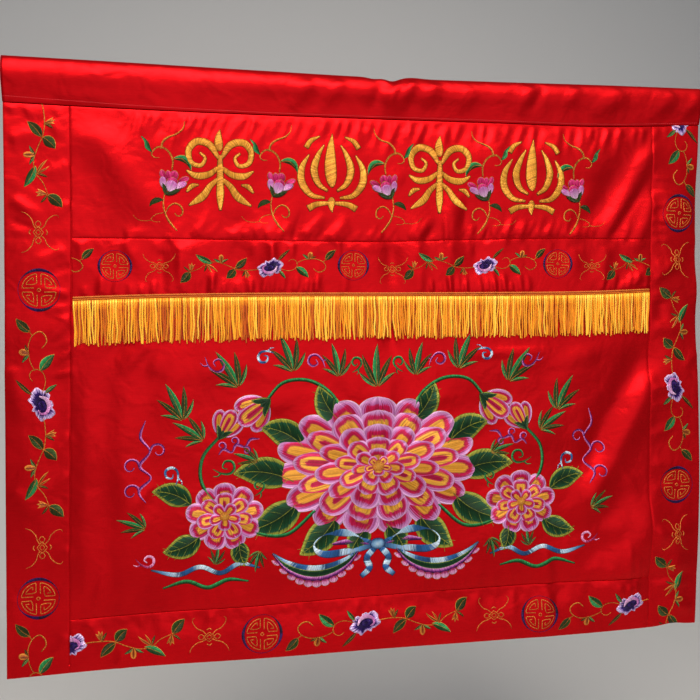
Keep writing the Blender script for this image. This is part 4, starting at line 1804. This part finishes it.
class FrontalFringe(bpy.types.PropertyGroup):
    """What a user may change on the fringe."""

    cord_pitch: FloatProperty(
        name="Cord pitch", description="Spacing of the cords along the tape", default=0.0034, min=0.002,
        max=0.01, unit="LENGTH",
    )
    cord_length: FloatProperty(
        name="Cord length", description="Length of the cords", default=0.0595, min=0.02, max=0.12,
        unit="LENGTH",
    )
    seed: IntProperty(name="Seed", description="Changes how the cords swing", default=7, min=0)


class FrontalStage(bpy.types.PropertyGroup):
    """What a user may change on the studio."""

    floor_height: FloatProperty(
        name="Floor height", description="Height of the floor", default=-1.5, unit="LENGTH"
    )
    floor_colour: FloatVectorProperty(
        name="Floor colour", description="Colour of the floor", subtype="COLOR",
        default=linear("#E1E1DF")[:3], min=0.0, max=1.0,
    )
    air_strength: FloatProperty(name="Air light", description="Strength of the even light", default=0.18)
    light_power: FloatProperty(name="Light power", description="Scales the soft lights", default=1.0)
    lens: FloatProperty(name="Lens", description="Focal length in millimetres", default=37.34)


class FRONTAL_OT_heading(bpy.types.Operator):
    """Makes the satin heading with its rod sleeve"""

    bl_idname = "frontal.heading"
    bl_label = "Heading"

    def execute(self, context):
        satin_heading(polyester_satin(context.scene.frontal_satin))
        heading_topstitch(sewing_thread())
        return {"FINISHED"}


class FRONTAL_OT_panels(bpy.types.Operator):
    """Makes the six satin panels"""

    bl_idname = "frontal.panels"
    bl_label = "Satin panels"

    def execute(self, context):
        satin = bpy.data.materials.get("polyester_satin_red") or polyester_satin(
            context.scene.frontal_satin
        )
        for panel in PANELS:
            satin_panel(panel, satin)
        return {"FINISHED"}


class FRONTAL_OT_fringe(bpy.types.Operator):
    """Makes the fringe with its tape and its two rows of cords"""

    bl_idname = "frontal.fringe"
    bl_label = "Fringe"

    def execute(self, context):
        settings = context.scene.frontal_fringe
        rng = np.random.default_rng(settings.seed)
        fringe_tape()
        for row in FRINGE_ROWS:
            fringe_cords(settings, row, rng)
        return {"FINISHED"}


class FRONTAL_OT_ornaments(bpy.types.Operator):
    """Embroiders the four large gold ornaments of the upper panel"""

    bl_idname = "frontal.ornaments"
    bl_label = "Gold ornaments"

    def execute(self, context):
        embroider("ornament")
        return {"FINISHED"}


class FRONTAL_OT_sprigs(bpy.types.Operator):
    """Embroiders the pink flower sprigs of the upper panel"""

    bl_idname = "frontal.sprigs"
    bl_label = "Flower sprigs"

    def execute(self, context):
        embroider("sprig")
        return {"FINISHED"}


class FRONTAL_OT_bouquet(bpy.types.Operator):
    """Embroiders the bouquet of the main panel"""

    bl_idname = "frontal.bouquet"
    bl_label = "Bouquet"

    def execute(self, context):
        embroider("bouquet")
        return {"FINISHED"}


class FRONTAL_OT_medallions(bpy.types.Operator):
    """Embroiders the round badges of the borders and strips"""

    bl_idname = "frontal.medallions"
    bl_label = "Medallions"

    def execute(self, context):
        embroider("medallion")
        return {"FINISHED"}


class FRONTAL_OT_knots(bpy.types.Operator):
    """Embroiders the small knots of the borders and strips"""

    bl_idname = "frontal.knots"
    bl_label = "Knots"

    def execute(self, context):
        embroider("knot")
        return {"FINISHED"}


class FRONTAL_OT_vines(bpy.types.Operator):
    """Embroiders the vines and indigo flowers of the borders and strips"""

    bl_idname = "frontal.vines"
    bl_label = "Vines"

    def execute(self, context):
        for panel in PANELS:
            work = {}
            for *place, parts in SPRAYS.get(panel.node, ()):
                for draw in parts:
                    draw(Pen(work, *place))
            sew(f"{panel.node}_vine", work, edge_lines(panel))
        return {"FINISHED"}


class FRONTAL_OT_stage(bpy.types.Operator):
    """Sets the floor, the lights and the camera"""

    bl_idname = "frontal.stage"
    bl_label = "Studio"

    def execute(self, context):
        add_stage(context)
        return {"FINISHED"}


STEPS = (
    "stage", "heading", "panels", "fringe", "ornaments", "sprigs", "medallions", "knots", "vines",
    "bouquet",
)


class FRONTAL_PT_sidebar(bpy.types.Panel):
    """Lists the steps that build the frontal"""

    bl_label = "Altar Frontal"
    bl_idname = "FRONTAL_PT_sidebar"
    bl_space_type = "VIEW_3D"
    bl_region_type = "UI"
    bl_category = "Frontal"

    def draw(self, context):
        for step in STEPS:
            self.layout.operator(f"frontal.{step}")


CLASSES = (
    FrontalSatin, FrontalFringe, FrontalStage, FRONTAL_OT_heading, FRONTAL_OT_panels, FRONTAL_OT_fringe,
    FRONTAL_OT_ornaments, FRONTAL_OT_sprigs, FRONTAL_OT_medallions, FRONTAL_OT_knots, FRONTAL_OT_vines,
    FRONTAL_OT_bouquet, FRONTAL_OT_stage, FRONTAL_PT_sidebar,
)


def register():
    for cls in CLASSES:
        bpy.utils.register_class(cls)
    bpy.types.Scene.frontal_satin = PointerProperty(type=FrontalSatin)
    bpy.types.Scene.frontal_fringe = PointerProperty(type=FrontalFringe)
    bpy.types.Scene.frontal_stage = PointerProperty(type=FrontalStage)


def unregister():
    del bpy.types.Scene.frontal_stage
    del bpy.types.Scene.frontal_fringe
    del bpy.types.Scene.frontal_satin
    for cls in reversed(CLASSES):
        bpy.utils.unregister_class(cls)


def corners(box):
    """A box's two corners as plain lists of numbers."""
    return [[float(number) for number in corner] for corner in box]


def main():
    """Builds every piece in order and notes the size of the solids and of the finished model."""
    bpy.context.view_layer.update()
    register()
    for step in STEPS:
        getattr(bpy.ops.frontal, step)()


if __name__ == "__main__":
    main()
